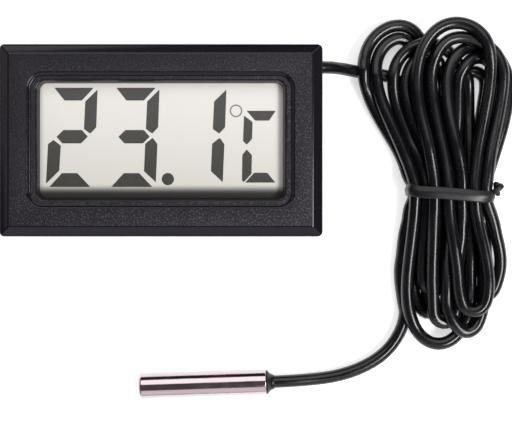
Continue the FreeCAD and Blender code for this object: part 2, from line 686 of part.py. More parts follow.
def make_contacts(doc):
    """A contact over each cell with a leg up to the board, and the strip on the battery cover."""
    contacts = []
    for label, side in (("contact_negative", -1), ("contact_positive", 1)):
        x = f"{side} * places.cell_pitch / 2"
        pad_box = primitive(doc, "Box", label + "_pad",
                            {"Length": "sizes.contact_width", "Width": "sizes.contact_width",
                             "Height": "sizes.contact_thick"},
                            f"{x} - sizes.contact_width / 2", "places.tray_row - sizes.contact_width / 2",
                            "places.tray_ceiling - sizes.contact_thick")
        leg = primitive(doc, "Box", label + "_leg",
                        {"Length": "sizes.contact_leg", "Width": "sizes.contact_thick",
                         "Height": "places.board_back - places.tray_ceiling"},
                        f"{x} - sizes.contact_leg / 2", "places.tray_row - sizes.contact_thick / 2",
                        "places.tray_ceiling")
        contacts.append(fused(doc, label, [pad_box, leg]))
    strip_length = "places.cell_pitch + sizes.contact_width"
    strip = primitive(doc, "Box", "contact_bridge",
                      {"Length": strip_length, "Width": "sizes.contact_width",
                       "Height": "sizes.contact_thick"},
                      f"-({strip_length}) / 2", "places.tray_row - sizes.contact_width / 2",
                      "sizes.door_thick")
    contacts.append(strip)
    return contacts


def route_wire(points):
    """Straight runs joined by tangent arcs, each as large as its two runs allow; prints the radii."""
    corners = [Vector(*point) for point in points]
    edges = []
    start = corners[0]
    radii = []
    for before, corner, after in zip(corners, corners[1:], corners[2:]):
        back = (before - corner).normalize()
        ahead = (after - corner).normalize()
        turn = math.pi - back.getAngle(ahead)
        shorter = min((before - corner).Length, (after - corner).Length)
        inset = 0.45 * shorter
        radii.append(inset / math.tan(turn / 2))
        arc_start = corner + back * inset
        arc_end = corner + ahead * inset
        bisector = (back + ahead).normalize()
        reach = radii[-1] * (1 / math.cos(turn / 2) - 1)
        edges.append(Part.LineSegment(start, arc_start).toShape())
        edges.append(Part.Arc(arc_start, corner + bisector * reach, arc_end).toShape())
        start = arc_end
    edges.append(Part.LineSegment(start, corners[-1]).toShape())
    print("bend radii:", " ".join(f"{radius:.1f}" for radius in radii))
    return Part.Wire(edges)


def make_tube(doc, label, points, radius):
    """A round tube along a route, its volume compared with its section times its length."""
    wire = route_wire(points)
    start = Vector(*points[0])
    direction = Vector(*points[1]) - start
    section = Part.Wire([Part.Circle(start, direction, radius).toShape()])
    solid = wire.makePipeShell([section], True, False)
    expected = math.pi * radius * radius * wire.Length
    if abs(solid.Volume - expected) > 0.01 * expected:
        raise ValueError(f"{label} has the wrong volume")
    print(f"{label}: length {wire.Length:.1f}, volume {solid.Volume:.1f}, expected {expected:.1f}")
    return add_shape(doc, label, solid)


def add_shape(doc, label, shape, placement=None):
    """A feature that holds a shape made from the sheet's sizes, put in its place."""
    feature = doc.addObject("Part::Feature", label)
    feature.Label = label
    feature.Shape = shape
    if placement:
        feature.Placement = placement
    return feature


def make_cord(doc, sizes):
    """The cord's two free stretches, the tied hank between them, and the twist tie at its waist."""
    radius = sizes.cord_diameter / 2
    tie_shape = make_tie_shape(sizes)
    hank_points = [Vector(x, y, 0) for x, y in HANK_OUTLINE]
    outline = Part.BSplineCurve()
    outline.interpolate(Points=hank_points, PeriodicFlag=True)
    face = Part.Face(Part.Wire([outline.toShape()]))
    block = face.extrude(Vector(0, 0, sizes.hank_height))
    rims = [edge for edge in block.Edges if edge.BoundBox.ZLength < 1e-6]
    hank = block.makeFillet(sizes.hank_round, rims).cut(tie_shape)
    return [
        make_tube(doc, "cord_lead", LEAD_ROUTE, radius),
        add_shape(doc, "cord_hank", hank),
        make_tube(doc, "cord_tail", TAIL_ROUTE, radius),
        add_shape(doc, "cord_tie", tie_shape),
    ]


def make_tie_shape(sizes):
    """A band round the waist of the hank, turned a little across it, with its twisted ends."""
    inner_height = sizes.hank_height - sizes.tie_thick
    outer = rounded_block(TIE_LENGTH + 2 * sizes.tie_thick, inner_height + 2 * sizes.tie_thick,
                          sizes.tie_width, sizes.hank_round + sizes.tie_thick, 0)
    inner = rounded_block(TIE_LENGTH, inner_height, sizes.tie_width, sizes.hank_round, sizes.tie_thick)
    start = Vector(TIE_LENGTH / 2 + sizes.tie_thick / 2, 0, sizes.hank_height / 2)
    end_radius = sizes.tie_thick * 1.25
    ends = Part.makeCylinder(end_radius, TIE_END_LENGTH, start, Vector(*TIE_END_DIRECTION))
    band = outer.fuse(ends).cut(inner)
    band.rotate(Vector(0, 0, 0), Vector(0, 0, 1), TIE_TURN)
    band.translate(Vector(*TIE_PLACE, 0))
    return band


def rounded_block(length, height, width, corner, foot):
    """A block along Y, centred on X and Y, with its long edges rounded and its underside at foot."""
    block = Part.makeBox(length, width, height, Vector(-length / 2, -width / 2, foot))
    edges = [edge for edge in block.Edges if edge.BoundBox.YLength > width / 2]
    return block.makeFillet(corner, edges)


def probe_placement():
    """Puts a shape built along +X from the origin on the probe's axis, its closed end at the tip."""
    return FreeCAD.Placement(Vector(*PROBE_TIP, 0), FreeCAD.Rotation(Vector(0, 0, 1), PROBE_TURN))


def make_probe(doc, sizes):
    """The closed steel tube, the resin in its mouth, the thermistor and its two legs."""
    radius = sizes.probe_diameter / 2
    axis = Vector(1, 0, 0)
    start = Vector(0, 0, radius)
    outer = Part.makeCylinder(radius, sizes.probe_length, start, axis)
    rim = [edge for edge in outer.Edges if edge.BoundBox.XMax < 1e-6]
    bore_start = start + axis * sizes.probe_wall
    bore_radius = radius - sizes.probe_wall
    bore = Part.makeCylinder(bore_radius, sizes.probe_length, bore_start, axis)
    sleeve = outer.makeFillet(sizes.probe_edge, rim).cut(bore)
    cord_radius = sizes.cord_diameter / 2 + sizes.layer_gap
    plug_start = start + axis * (sizes.probe_length - sizes.seal_depth)
    plug = Part.makeCylinder(bore_radius - sizes.layer_gap, sizes.seal_depth, plug_start, axis)
    mouth = start + axis * sizes.probe_length
    nose_radius = sizes.cord_diameter / 2 + sizes.seal_lip
    nose = Part.makeCone(radius - sizes.layer_gap, nose_radius, sizes.seal_nose, mouth, axis)
    passage = Part.makeCylinder(cord_radius, sizes.seal_depth + sizes.seal_nose, plug_start, axis)
    seal = plug.fuse(nose).cut(passage).removeSplitter()
    bead_x = sizes.bead_inset
    bead = Part.makeSphere(sizes.bead_radius, start + axis * bead_x)
    leg_start = bead_x + sizes.bead_radius - sizes.leg_sink
    leg_length = sizes.probe_length - sizes.seal_depth - leg_start
    legs = []
    for side in (-1, 1):
        foot = start + axis * leg_start + Vector(0, side * sizes.leg_pitch / 2, 0)
        legs.append(Part.makeCylinder(sizes.leg_radius, leg_length, foot, axis))
    bead = bead.cut(Part.makeCompound(legs))
    place = probe_placement()
    return [
        add_shape(doc, "probe_sleeve", sleeve, place),
        add_shape(doc, "probe_seal", seal, place),
        add_shape(doc, "thermistor_bead", bead, place),
        add_shape(doc, "thermistor_legs", Part.makeCompound(legs), place),
    ]


def make_sensor_wires(doc, sizes, places):
    """The cord's two wires inside the case, the glue bead round them and their solder joints."""
    level = sizes.cord_level
    wall = places.inner_length / 2
    row = places.cord_row - sizes.lead_inset
    pad_row = places.cord_row - sizes.pad_drop
    bend = sizes.solder_radius - sizes.lead_radius
    pieces = []
    joints = []
    for index, (name, side) in enumerate((("sensor_wire_upper", 1), ("sensor_wire_lower", -1))):
        height = level + side * sizes.lead_pitch / 2
        pad_x = wall - sizes.pad_inset - index * sizes.pad_pitch
        route = [
            (wall, row, height),
            (wall - sizes.glue_length - bend, row - sizes.lead_inset, height),
            (pad_x + 2 * sizes.glue_round + sizes.lead_pitch, pad_row + sizes.glue_width, height - bend / 2),
            (pad_x + sizes.glue_round, pad_row + sizes.glue_round, height + bend),
            (pad_x, pad_row, places.board_back - sizes.lead_radius),
        ]
        pieces.append(make_tube(doc, name, route, sizes.lead_radius))
        foot = Vector(pad_x, pad_row, places.board_back - sizes.solder_height)
        joints.append(Part.makeCone(sizes.solder_radius / 2, sizes.solder_radius, sizes.solder_height, foot))
    wires = [piece.Shape for piece in pieces]
    solder = Part.makeCompound([joint.cut(Part.makeCompound(wires)) for joint in joints])
    pieces.append(add_shape(doc, "solder_joints", solder))
    glue_x = wall - sizes.glue_length
    glue_corner = Vector(glue_x, places.inner_width / 2 - sizes.glue_width, level - sizes.glue_length / 2)
    glue = Part.makeBox(sizes.glue_length, sizes.glue_width, sizes.glue_length, glue_corner)
    free_edges = [edge for edge in glue.Edges if edge.CenterOfMass.x < glue_x + 1e-6]
    glue = glue.makeFillet(sizes.glue_round, free_edges).cut(Part.makeCompound(wires))
    pieces.append(add_shape(doc, "cord_glue_bead", glue))
    return pieces


def check(doc, nodes):
    """Stops if any object failed to recompute or any node's shape is missing or broken."""
    for item in doc.Objects:
        if "Invalid" in item.State or "Error" in item.State:
            raise ValueError(f"{item.Name} failed: {item.State}")
    labels = [node.Label for node in nodes]
    if len(set(labels)) != len(labels):
        raise ValueError("two nodes share a label")
    for node in nodes:
        if node.Shape.isNull() or not node.Shape.isValid() or not node.Shape.Solids:
            raise ValueError(f"{node.Label} has no valid solid")


def main():
    """Builds the thermometer and writes one STEP file for each node."""
    doc = FreeCAD.newDocument("panel_thermometer")
    sizes, places = add_sheets(doc)
    nodes = [make_front_housing(doc), make_rear_cover(doc), make_battery_cover(doc)]
    nodes += make_snap_clips(doc)
    nodes += make_display(doc)
    nodes.append(make_circuit_board(doc))
    nodes.append(make_screws(doc))
    nodes += make_board_parts(doc)
    nodes += make_cell(doc, -1, cap_up=True)
    nodes += make_cell(doc, 1, cap_up=False)
    nodes += make_contacts(doc)
    nodes += make_sensor_wires(doc, sizes, places)
    nodes += make_cord(doc, sizes)
    nodes += make_probe(doc, sizes)
    doc.recompute()
    check(doc, nodes)
    os.makedirs("parts", exist_ok=True)
    for node in nodes:
        node.Shape.exportStep(os.path.join("parts", node.Label + ".step"))
        print(f"{node.Label}: {len(node.Shape.Solids)} solid(s), {node.Shape.Volume:.2f}")


main()
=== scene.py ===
import logging
import math
from dataclasses import dataclass, field
from enum import Enum

import bmesh
import bpy
import numpy as np
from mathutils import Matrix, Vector


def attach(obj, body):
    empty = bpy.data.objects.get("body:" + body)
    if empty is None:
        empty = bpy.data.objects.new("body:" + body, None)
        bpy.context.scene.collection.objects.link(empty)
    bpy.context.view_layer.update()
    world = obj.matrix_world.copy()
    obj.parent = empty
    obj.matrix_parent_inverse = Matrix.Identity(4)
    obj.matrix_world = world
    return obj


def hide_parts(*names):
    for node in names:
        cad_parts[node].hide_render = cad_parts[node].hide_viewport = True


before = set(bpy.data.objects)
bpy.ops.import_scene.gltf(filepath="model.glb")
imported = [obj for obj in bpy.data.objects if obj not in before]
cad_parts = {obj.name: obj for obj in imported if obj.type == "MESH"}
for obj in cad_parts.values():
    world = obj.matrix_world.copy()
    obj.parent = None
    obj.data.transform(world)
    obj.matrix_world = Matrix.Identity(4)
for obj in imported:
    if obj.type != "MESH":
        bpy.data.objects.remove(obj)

logging.basicConfig(level=logging.INFO, format="%(message)s")
log = logging.getLogger("thermometer")

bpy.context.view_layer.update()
MM = 0.001
Point = tuple[float, float, float]
Colour = tuple[float, float, float]


class Body(str, Enum):
    """The bodies that the pieces ride on."""

    CASE = "root"
    BATTERY_COVER = "battery_cover"
    CLIP_LEFT = "clip_left"
    CLIP_RIGHT = "clip_right"


class Segment(Enum):
    """The segments of a display digit, named as on any seven-segment digit."""

    TOP = "a"
    UPPER_RIGHT = "b"
    LOWER_RIGHT = "c"
    BOTTOM = "d"
    LOWER_LEFT = "e"
    MIDDLE = "g"


# Meshes ---------------------------------------------------------------------------------------------


def grid_faces(rows: int, columns: int, close_rows: bool = False, close_columns: bool = True) -> np.ndarray:
    """Lists the four corners of each cell of a grid of points numbered row by row.

    Args:
        rows: How many rows of points there are.
        columns: How many points there are in a row.
        close_rows: Whether the last row joins the first.
        close_columns: Whether the last column joins the first.

    Returns:
        An array of faces, four point numbers each.
    """
    r = np.arange(rows if close_rows else rows - 1)[:, None]
    c = np.arange(columns if close_columns else columns - 1)[None, :]
    r_next, c_next = (r + 1) % rows, (c + 1) % columns
    corners = [r * columns + c, r * columns + c_next, r_next * columns + c_next, r_next * columns + c]
    return np.stack([k.ravel() for k in corners], axis=1)


def add_piece(
    name: str, points: np.ndarray, faces: list, body: Body, smooth: bool = True
) -> bpy.types.Object:
    """Makes a closed mesh object from points in millimetres, with its faces turned outwards.

    Args:
        name: The piece's name.
        points: Points in millimetres, three numbers each.
        faces: Faces as lists of point numbers.
        body: The body that the piece rides on.
        smooth: Whether the faces are shaded smooth.

    Returns:
        The new object, at the origin.
    """
    mesh = bpy.data.meshes.new(name)
    places = np.asarray(points, dtype=float).reshape(-1, 3) * MM
    mesh.from_pydata(places.tolist(), [], [list(map(int, face)) for face in faces])
    turned = bmesh.new()
    turned.from_mesh(mesh)
    bmesh.ops.recalc_face_normals(turned, faces=turned.faces)
    turned.to_mesh(mesh)
    turned.free()
    mesh.polygons.foreach_set("use_smooth", np.full(len(mesh.polygons), smooth))
    piece = bpy.data.objects.new(name, mesh)
    bpy.context.scene.collection.objects.link(piece)
    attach(piece, body.value)
    log.info("%s: %d faces", name, len(mesh.polygons))
    return piece


def mark_sharp(piece: bpy.types.Object, degrees: float) -> None:
    """Keeps edges sharper than an angle crisp on a smooth-shaded piece.

    Args:
        piece: The mesh object.
        degrees: The angle between faces from which an edge stays crisp.
    """
    mesh = bmesh.new()
    mesh.from_mesh(piece.data)
    limit = math.radians(degrees)
    for edge in mesh.edges:
        edge.smooth = edge.calc_face_angle(0.0) < limit
    mesh.to_mesh(piece.data)
    mesh.free()


def lathe(
    name: str, profile: np.ndarray, start: np.ndarray, axis: np.ndarray, body: Body,
    sides: int = 64,
) -> bpy.types.Object:
    """Turns a profile round an axis.

    A point of the profile at distance a along the axis and r from it goes round the circle of radius r:
    start + a * axis + r * (cos(t) * u + sin(t) * v), with u and v square to the axis. The profile starts and
    ends on the axis, so each end is closed with a fan of triangles round one pole.

    Args:
        name: The piece's name.
        profile: Distance along the axis and radius, in millimetres, from pole to pole.
        start: The axis's first point, in millimetres.
        axis: The axis's direction, of length 1.
        body: The body that the piece rides on.
        sides: How many points there are round the axis.

    Returns:
        The new object.
    """
    u = np.cross(axis, (0.0, 0.0, 1.0))
    u /= np.linalg.norm(u)
    v = np.cross(axis, u)
    turn = np.linspace(0, 2 * math.pi, sides, endpoint=False)
    ring = np.cos(turn)[:, None] * u + np.sin(turn)[:, None] * v
    inner = profile[1:-1]
    points = start + inner[:, :1, None] * axis + inner[:, 1:, None] * ring[None]
    count = len(inner) * sides
    poles = start + profile[[0, -1], :1] * axis
    around = np.arange(sides)
    following = (around + 1) % sides
    last = (len(inner) - 1) * sides
    first_fan = [(count, b, a) for a, b in zip(around, following)]
    last_fan = [(count + 1, last + a, last + b) for a, b in zip(around, following)]
    faces = [*grid_faces(len(inner), sides).tolist(), *first_fan, *last_fan]
    return add_piece(name, np.vstack([points.reshape(-1, 3), poles]), faces, body)


def softened_corners(outline: np.ndarray, radius: float, steps: int = 5) -> np.ndarray:
    """Rounds the corners of a closed outline.

    Each corner gives way to a curve from a point before it to a point after it, at most radius away:
    (1-t)^2 * before + 2t(1-t) * corner + t^2 * after.

    Args:
        outline: Corner points in a row, two numbers each.
        radius: How far from the corner each curve starts, in the outline's units.
        steps: How many points each curve has.

    Returns:
        The rounded outline's points.
    """
    before, after = np.roll(outline, 1, axis=0) - outline, np.roll(outline, -1, axis=0) - outline
    length_before = np.linalg.norm(before, axis=1, keepdims=True)
    length_after = np.linalg.norm(after, axis=1, keepdims=True)
    first = outline + before * np.minimum(radius / length_before, 0.45)
    last = outline + after * np.minimum(radius / length_after, 0.45)
    t = np.linspace(0, 1, steps)[None, :, None]
    curve = (1 - t) ** 2 * first[:, None] + 2 * t * (1 - t) * outline[:, None] + t ** 2 * last[:, None]
    return curve.reshape(-1, 2)


def slab(name: str, outline: np.ndarray, foot: float, top: float, body: Body) -> bpy.types.Object:
    """Makes a flat closed piece with the outline's shape, between two levels.

    Args:
        name: The piece's name.
        outline: The outline's points, in millimetres.
        foot: The lower level.
        top: The upper level.
        body: The body that the piece rides on.

    Returns:
        The new object.
    """
    n = len(outline)
    points = np.vstack([np.column_stack([outline, np.full(n, z)]) for z in (foot, top)])
    faces = [*grid_faces(2, n).tolist(), list(range(n)), list(range(n, 2 * n))]
    return add_piece(name, points, faces, body, smooth=False)


# Finishes -------------------------------------------------------------------------------------------


@dataclass
class Graph:
    """A node tree with short ways to add and join nodes."""

    tree: bpy.types.NodeTree

    def add(self, kind: str, inputs: dict | None = None, **settings: object) -> bpy.types.Node:
        """Adds a node.

        Args:
            kind: The node's type.
            inputs: Values or sockets for its inputs, by name or number.
            settings: Its other properties.

        Returns:
            The new node.
        """
        node = self.tree.nodes.new(kind)
        for key, value in settings.items():
            setattr(node, key, value)
        for key, value in (inputs or {}).items():
            if isinstance(value, bpy.types.NodeSocket):
                self.tree.links.new(value, node.inputs[key])
            else:
                node.inputs[key].default_value = value
        return node

    def maths(self, operation: str, *values: object, clamp: bool = False) -> bpy.types.NodeSocket:
        """Adds a Math node and gives its output."""
        node = self.add("ShaderNodeMath", dict(enumerate(values)), operation=operation, use_clamp=clamp)
        return node.outputs[0]

    def mix(self, share: object, first: object, second: object) -> bpy.types.NodeSocket:
        """Mixes two colours and gives the result."""
        node = self.add("ShaderNodeMix", {0: share, 6: first, 7: second}, data_type="RGBA")
        return node.outputs[2]

    def fade(
        self, value: object, low: float, high: float, to_low: float = 0.0, to_high: float = 1.0
    ) -> bpy.types.NodeSocket:
        """Carries a value from one range to another, smoothly and within it."""
        ends = {0: value, 1: low, 2: high, 3: to_low, 4: to_high}
        return self.add("ShaderNodeMapRange", ends, interpolation_type="SMOOTHSTEP").outputs[0]


def rgba(colour: Colour) -> tuple[float, float, float, float]:
    """Gives a colour with full alpha."""
    return (*colour, 1.0)


@dataclass
class SharedEffects:
    """Effects that several finishes use, each a node group built once."""

    made: dict[str, bpy.types.NodeTree] = field(default_factory=dict)

    def group(
        self, name: str, inputs: dict[str, float], outputs: tuple[str, ...]
    ) -> tuple[Graph, bpy.types.Node, bpy.types.Node]:
        """Starts a node group with a vector input, number inputs and number outputs.

        Args:
            name: The group's name.
            inputs: The number inputs and their first values.
            outputs: The number outputs.

        Returns:
            The group's graph, its input node and its output node.
        """
        tree = bpy.data.node_groups.new(name, "ShaderNodeTree")
        tree.interface.new_socket("Place", in_out="INPUT", socket_type="NodeSocketVector")
        for key, value in inputs.items():
            socket = tree.interface.new_socket(key, in_out="INPUT", socket_type="NodeSocketFloat")
            socket.default_value = value
        for key in outputs:
            tree.interface.new_socket(key, in_out="OUTPUT", socket_type="NodeSocketFloat")
        graph = Graph(tree)
        self.made[name] = tree
        return graph, graph.add("NodeGroupInput"), graph.add("NodeGroupOutput")

    def spark_grain(self) -> bpy.types.NodeTree:
        """Builds the pitted skin of a spark-textured mould: a height, and a mask of its brighter facets.

        Returns:
            The group's tree, the same one each time.
        """
        if "spark grain" in self.made:
            return self.made["spark grain"]
        inputs = {"Pits Per Metre": 4000.0, "Depth": 1.0}
        graph, given, result = self.group("spark grain", inputs, ("Height", "Facets"))
        place, pits = given.outputs["Place"], given.outputs["Pits Per Metre"]
        cells = graph.add("ShaderNodeTexVoronoi", {"Vector": place, "Scale": pits})
        detail = {"Vector": place, "Scale": pits, "Detail": 3.0, "Roughness": 0.7}
        fine = graph.add("ShaderNodeTexNoise", detail)
        cell_share = graph.maths("MULTIPLY", cells.outputs["Distance"], 0.4)
        height = graph.maths("ADD", cell_share, fine.outputs["Fac"])
        facets = graph.fade(fine.outputs["Fac"], 0.52, 0.66)
        graph.tree.links.new(graph.maths("MULTIPLY", height, given.outputs["Depth"]), result.inputs["Height"])
        graph.tree.links.new(facets, result.inputs["Facets"])
        return graph.tree

    def handling(self) -> bpy.types.NodeTree:
        """Builds the uneven sheen of a handled surface: a slow cloud and sparse dust specks.

        Returns:
            The group's tree, the same one each time.
        """
        if "handling" in self.made:
            return self.made["handling"]
        inputs = {"Cloud Scale": 120.0, "Dust Scale": 2500.0}
        graph, given, result = self.group("handling", inputs, ("Cloud", "Dust"))
        place, slow, quick = (given.outputs[key] for key in ("Place", "Cloud Scale", "Dust Scale"))
        cloud = graph.add("ShaderNodeTexNoise", {"Vector": place, "Scale": slow, "Detail": 2.0})
        dust = graph.add("ShaderNodeTexNoise", {"Vector": place, "Scale": quick, "Detail": 1.0})
        graph.tree.links.new(graph.fade(cloud.outputs["Fac"], 0.3, 0.7), result.inputs["Cloud"])
        graph.tree.links.new(graph.fade(dust.outputs["Fac"], 0.68, 0.8), result.inputs["Dust"])
        return graph.tree


EFFECTS = SharedEffects()


@dataclass(frozen=True)
class Finish:
    """What every finish has: a name, a base colour and a roughness."""

    name: str
    colour: Colour
    roughness: float

    def build(self) -> bpy.types.Material:
        """Makes the material, with a Principled shader and its own pattern.

        Returns:
            The new material.
        """
        material = bpy.data.materials.new(self.name)
        material.use_nodes = True
        graph = Graph(material.node_tree)
        shader = material.node_tree.nodes["Principled BSDF"]
        shader.inputs["Base Color"].default_value = rgba(self.colour)
        shader.inputs["Roughness"].default_value = self.roughness
        place = graph.add("ShaderNodeTexCoord").outputs["Object"]
        self.dress(graph, shader, place)
        material.diffuse_color = rgba(self.colour)
        return material

    def dress(self, graph: Graph, shader: bpy.types.Node, place: bpy.types.NodeSocket) -> None:
        """Adds the finish's own pattern to the shader.

        Args:
            graph: The material's node graph.
            shader: Its Principled shader.
            place: The Object coordinates.
        """

    def effect(
        self, graph: Graph, tree: bpy.types.NodeTree, place: bpy.types.NodeSocket, **values: float
    ) -> bpy.types.Node:
        """Places a shared effect in the material, with its own values.

        Args:
            graph: The material's node graph.
            tree: The effect's node group.
            place: The Object coordinates.
            values: The group's number inputs, each named in lower case with underscores.

        Returns:
            The group's node.
        """
        node = graph.add("ShaderNodeGroup", node_tree=tree)
        graph.tree.links.new(place, node.inputs["Place"])
        for key, value in values.items():
            node.inputs[key.replace("_", " ").title()].default_value = value
        return node

    def bump(
        self, graph: Graph, shader: bpy.types.Node, height: bpy.types.NodeSocket, distance: float
    ) -> None:
        """Feeds a height in units of distance, in metres, to the shader's normal."""
        node = graph.add("ShaderNodeBump", {"Height": height, "Distance": distance, "Strength": 1.0})
        graph.tree.links.new(node.outputs["Normal"], shader.inputs["Normal"])


@dataclass(frozen=True)
class MouldedPlastic(Finish):
    """Moulded plastic with a fine pitted skin, lighter on its facets and dusted a little.

    A piece can keep its pits to the surfaces that face straight out along Z, and be smooth on its slopes
    and walls. It can also have its facets painted lighter towards one corner, a painted gradient of light
    from that side, given by one over the piece's length and one over its width, in metres, with that
    corner's signs.
    """

    facet: Colour = (0.05, 0.05, 0.055)
    pits: float = 4200.0
    depth: float = 0.000012
    sheen: float = 0.2
    smooth_slopes: bool = False
    slope_roughness: float = 0.22
    painted_light_corner: Point = (0.0, 0.0, 0.0)

    def dress(self, graph: Graph, shader: bpy.types.Node, place: bpy.types.NodeSocket) -> None:
        """Mixes the facets' colour into the base, and pits the skin.

        Args:
            graph: The material's node graph.
            shader: Its Principled shader.
            place: The Object coordinates.
        """
        grain = self.effect(graph, EFFECTS.spark_grain(), place, pits_per_metre=self.pits)
        marks = self.effect(graph, EFFECTS.handling(), place)
        share = graph.maths("MULTIPLY", grain.outputs["Facets"], 0.55)
        rough = graph.fade(marks.outputs["Cloud"], 0.0, 1.0, self.roughness - 0.06, self.roughness + 0.06)
        height = grain.outputs["Height"]
        if self.smooth_slopes:
            axes = graph.add("ShaderNodeSeparateXYZ", {0: graph.add("ShaderNodeTexCoord").outputs["Normal"]})
            level = graph.fade(axes.outputs["Z"], 0.985, 0.998)
            share = graph.maths("MULTIPLY", share, level)
            height = graph.maths("MULTIPLY", height, level)
            on_slopes = graph.fade(level, 0.0, 1.0, self.slope_roughness, 0.0)
            rough = graph.maths("ADD", graph.maths("MULTIPLY", rough, level), on_slopes)
        # Painted light: the facets grow lighter towards the given corner, on the side of the lamp.
        if any(self.painted_light_corner):
            toward_lit_corner = graph.add("ShaderNodeVectorMath", {0: place, 1: self.painted_light_corner}, operation="DOT_PRODUCT")
            share = graph.maths("MULTIPLY", share, graph.fade(toward_lit_corner.outputs["Value"], -0.6, 0.6, 0.4, 1.5))
        colour = graph.mix(share, rgba(self.colour), rgba(self.facet))
        dust = graph.maths("MULTIPLY", marks.outputs["Dust"], 0.15)
        dusted = graph.mix(dust, colour, rgba((0.12, 0.12, 0.12)))
        graph.tree.links.new(dusted, shader.inputs["Base Color"])
        graph.tree.links.new(rough, shader.inputs["Roughness"])
        shader.inputs["Specular IOR Level"].default_value = self.sheen
        self.bump(graph, shader, height, self.depth)


@dataclass(frozen=True)
class Extruded(Finish):
    """Extruded or cast plastic: glossy, with a faint waviness and a little dust."""

    waves: float = 900.0
    depth: float = 0.00001
    sheen: float = 0.5
    coat: float = 0.0

    def dress(self, graph: Graph, shader: bpy.types.Node, place: bpy.types.NodeSocket) -> None:
        """Varies the gloss, adds sparse dust and bends the highlights a little.

        Args:
            graph: The material's node graph.
            shader: Its Principled shader.
            place: The Object coordinates.
        """
        marks = self.effect(graph, EFFECTS.handling(), place, cloud_scale=260.0, dust_scale=3200.0)
        dust = graph.maths("MULTIPLY", marks.outputs["Dust"], 0.12)
        colour = graph.mix(dust, rgba(self.colour), rgba((0.25, 0.25, 0.25)))
        graph.tree.links.new(colour, shader.inputs["Base Color"])
        rough = graph.fade(marks.outputs["Cloud"], 0.0, 1.0, self.roughness, self.roughness + 0.08)
        graph.tree.links.new(rough, shader.inputs["Roughness"])
        shader.inputs["Specular IOR Level"].default_value = self.sheen
        shader.inputs["Coat Weight"].default_value = self.coat
        shader.inputs["Coat Roughness"].default_value = 0.08
        wave = graph.add("ShaderNodeTexNoise", {"Vector": place, "Scale": self.waves, "Detail": 1.0})
        self.bump(graph, shader, wave.outputs["Fac"], self.depth)


@dataclass(frozen=True)
class Metal(Finish):
    """Metal with fine drawn lines along one direction, and a slightly uneven tone."""

    lines: Point = (200.0, 9000.0, 9000.0)
    turn: float = 0.0
    spread: float = 0.1
    depth: float = 0.000002

    def dress(self, graph: Graph, shader: bpy.types.Node, place: bpy.types.NodeSocket) -> None:
        """Stretches a noise along the metal's drawing direction, for its colour, roughness and height.

        Args:
            graph: The material's node graph.
            shader: Its Principled shader.
            place: The Object coordinates.
        """
        along = {"Vector": place, "Rotation": (0.0, 0.0, -self.turn), "Scale": self.lines}
        turned = graph.add("ShaderNodeMapping", along).outputs[0]
        detail = {"Vector": turned, "Scale": 1.0, "Detail": 4.0, "Roughness": 0.7}
        drawn = graph.add("ShaderNodeTexNoise", detail)
        marks = self.effect(graph, EFFECTS.handling(), place, cloud_scale=400.0)
        darker = tuple(0.82 * c for c in self.colour)
        colour = graph.mix(drawn.outputs["Fac"], rgba(darker), rgba(self.colour))
        graph.tree.links.new(colour, shader.inputs["Base Color"])
        cloud = graph.maths("MULTIPLY", marks.outputs["Cloud"], 0.4)
        uneven = graph.maths("ADD", drawn.outputs["Fac"], cloud)
        rough = graph.fade(uneven, 0.2, 1.2, self.roughness, self.roughness + self.spread)
        graph.tree.links.new(rough, shader.inputs["Roughness"])
        shader.inputs["Metallic"].default_value = 1.0
        self.bump(graph, shader, drawn.outputs["Fac"], self.depth)


@dataclass(frozen=True)
class DisplayFilm(Finish):
    """The display's grey reflective film, with painted shade: darker down towards its bottom, a painted
    shadow band along its lower edge, and painted shade at its left end.
    """

    # Painted shade: lower is the colour at the film's bottom, band the colour of the painted shadow along its
    # lower edge between the two levels that follow, and side where the painted shade at its left end starts.
    lower: Colour = (0.60, 0.59, 0.545)
    band: Colour = (0.022, 0.024, 0.02)
    shadow_band_top: float = -0.00645
    shadow_band_foot: float = -0.0081
    side: float = -0.0181

    def dress(self, graph: Graph, shader: bpy.types.Node, place: bpy.types.NodeSocket) -> None:
        """Fades the colour darker down the display as painted shade, paints a shadow band along its lower edge
        and shade at its left end, and adds a faint grain.

        Args:
            graph: The material's node graph.
            shader: Its Principled shader.
            place: The Object coordinates.
        """
        axes = graph.add("ShaderNodeSeparateXYZ", {0: place})
        # Painted shade: darker towards the bottom.
        up = graph.fade(axes.outputs["Y"], -0.0085, 0.0085)
        tone = graph.mix(up, rgba(self.lower), rgba(self.colour))
        grain = graph.add("ShaderNodeTexNoise", {"Vector": place, "Scale": 7000.0, "Detail": 2.0})
        grained = graph.mix(graph.fade(grain.outputs["Fac"], 0.35, 0.65, 0.0, 0.06), tone, rgba(self.lower))
        # Painted shade at the left end.
        end = graph.fade(axes.outputs["X"], self.side, self.side + 0.0007, 0.45, 0.0)
        shaded = graph.mix(end, grained, rgba((0.3, 0.3, 0.28)))
        # Painted shadow band along the lower edge.
        clear = graph.maths("POWER", graph.fade(axes.outputs["Y"], self.shadow_band_foot, self.shadow_band_top), 1.7)
        graph.tree.links.new(graph.mix(clear, rgba(self.band), shaded), shader.inputs["Base Color"])
        shader.inputs["Specular IOR Level"].default_value = 0.3
        self.bump(graph, shader, grain.outputs["Fac"], 0.000002)


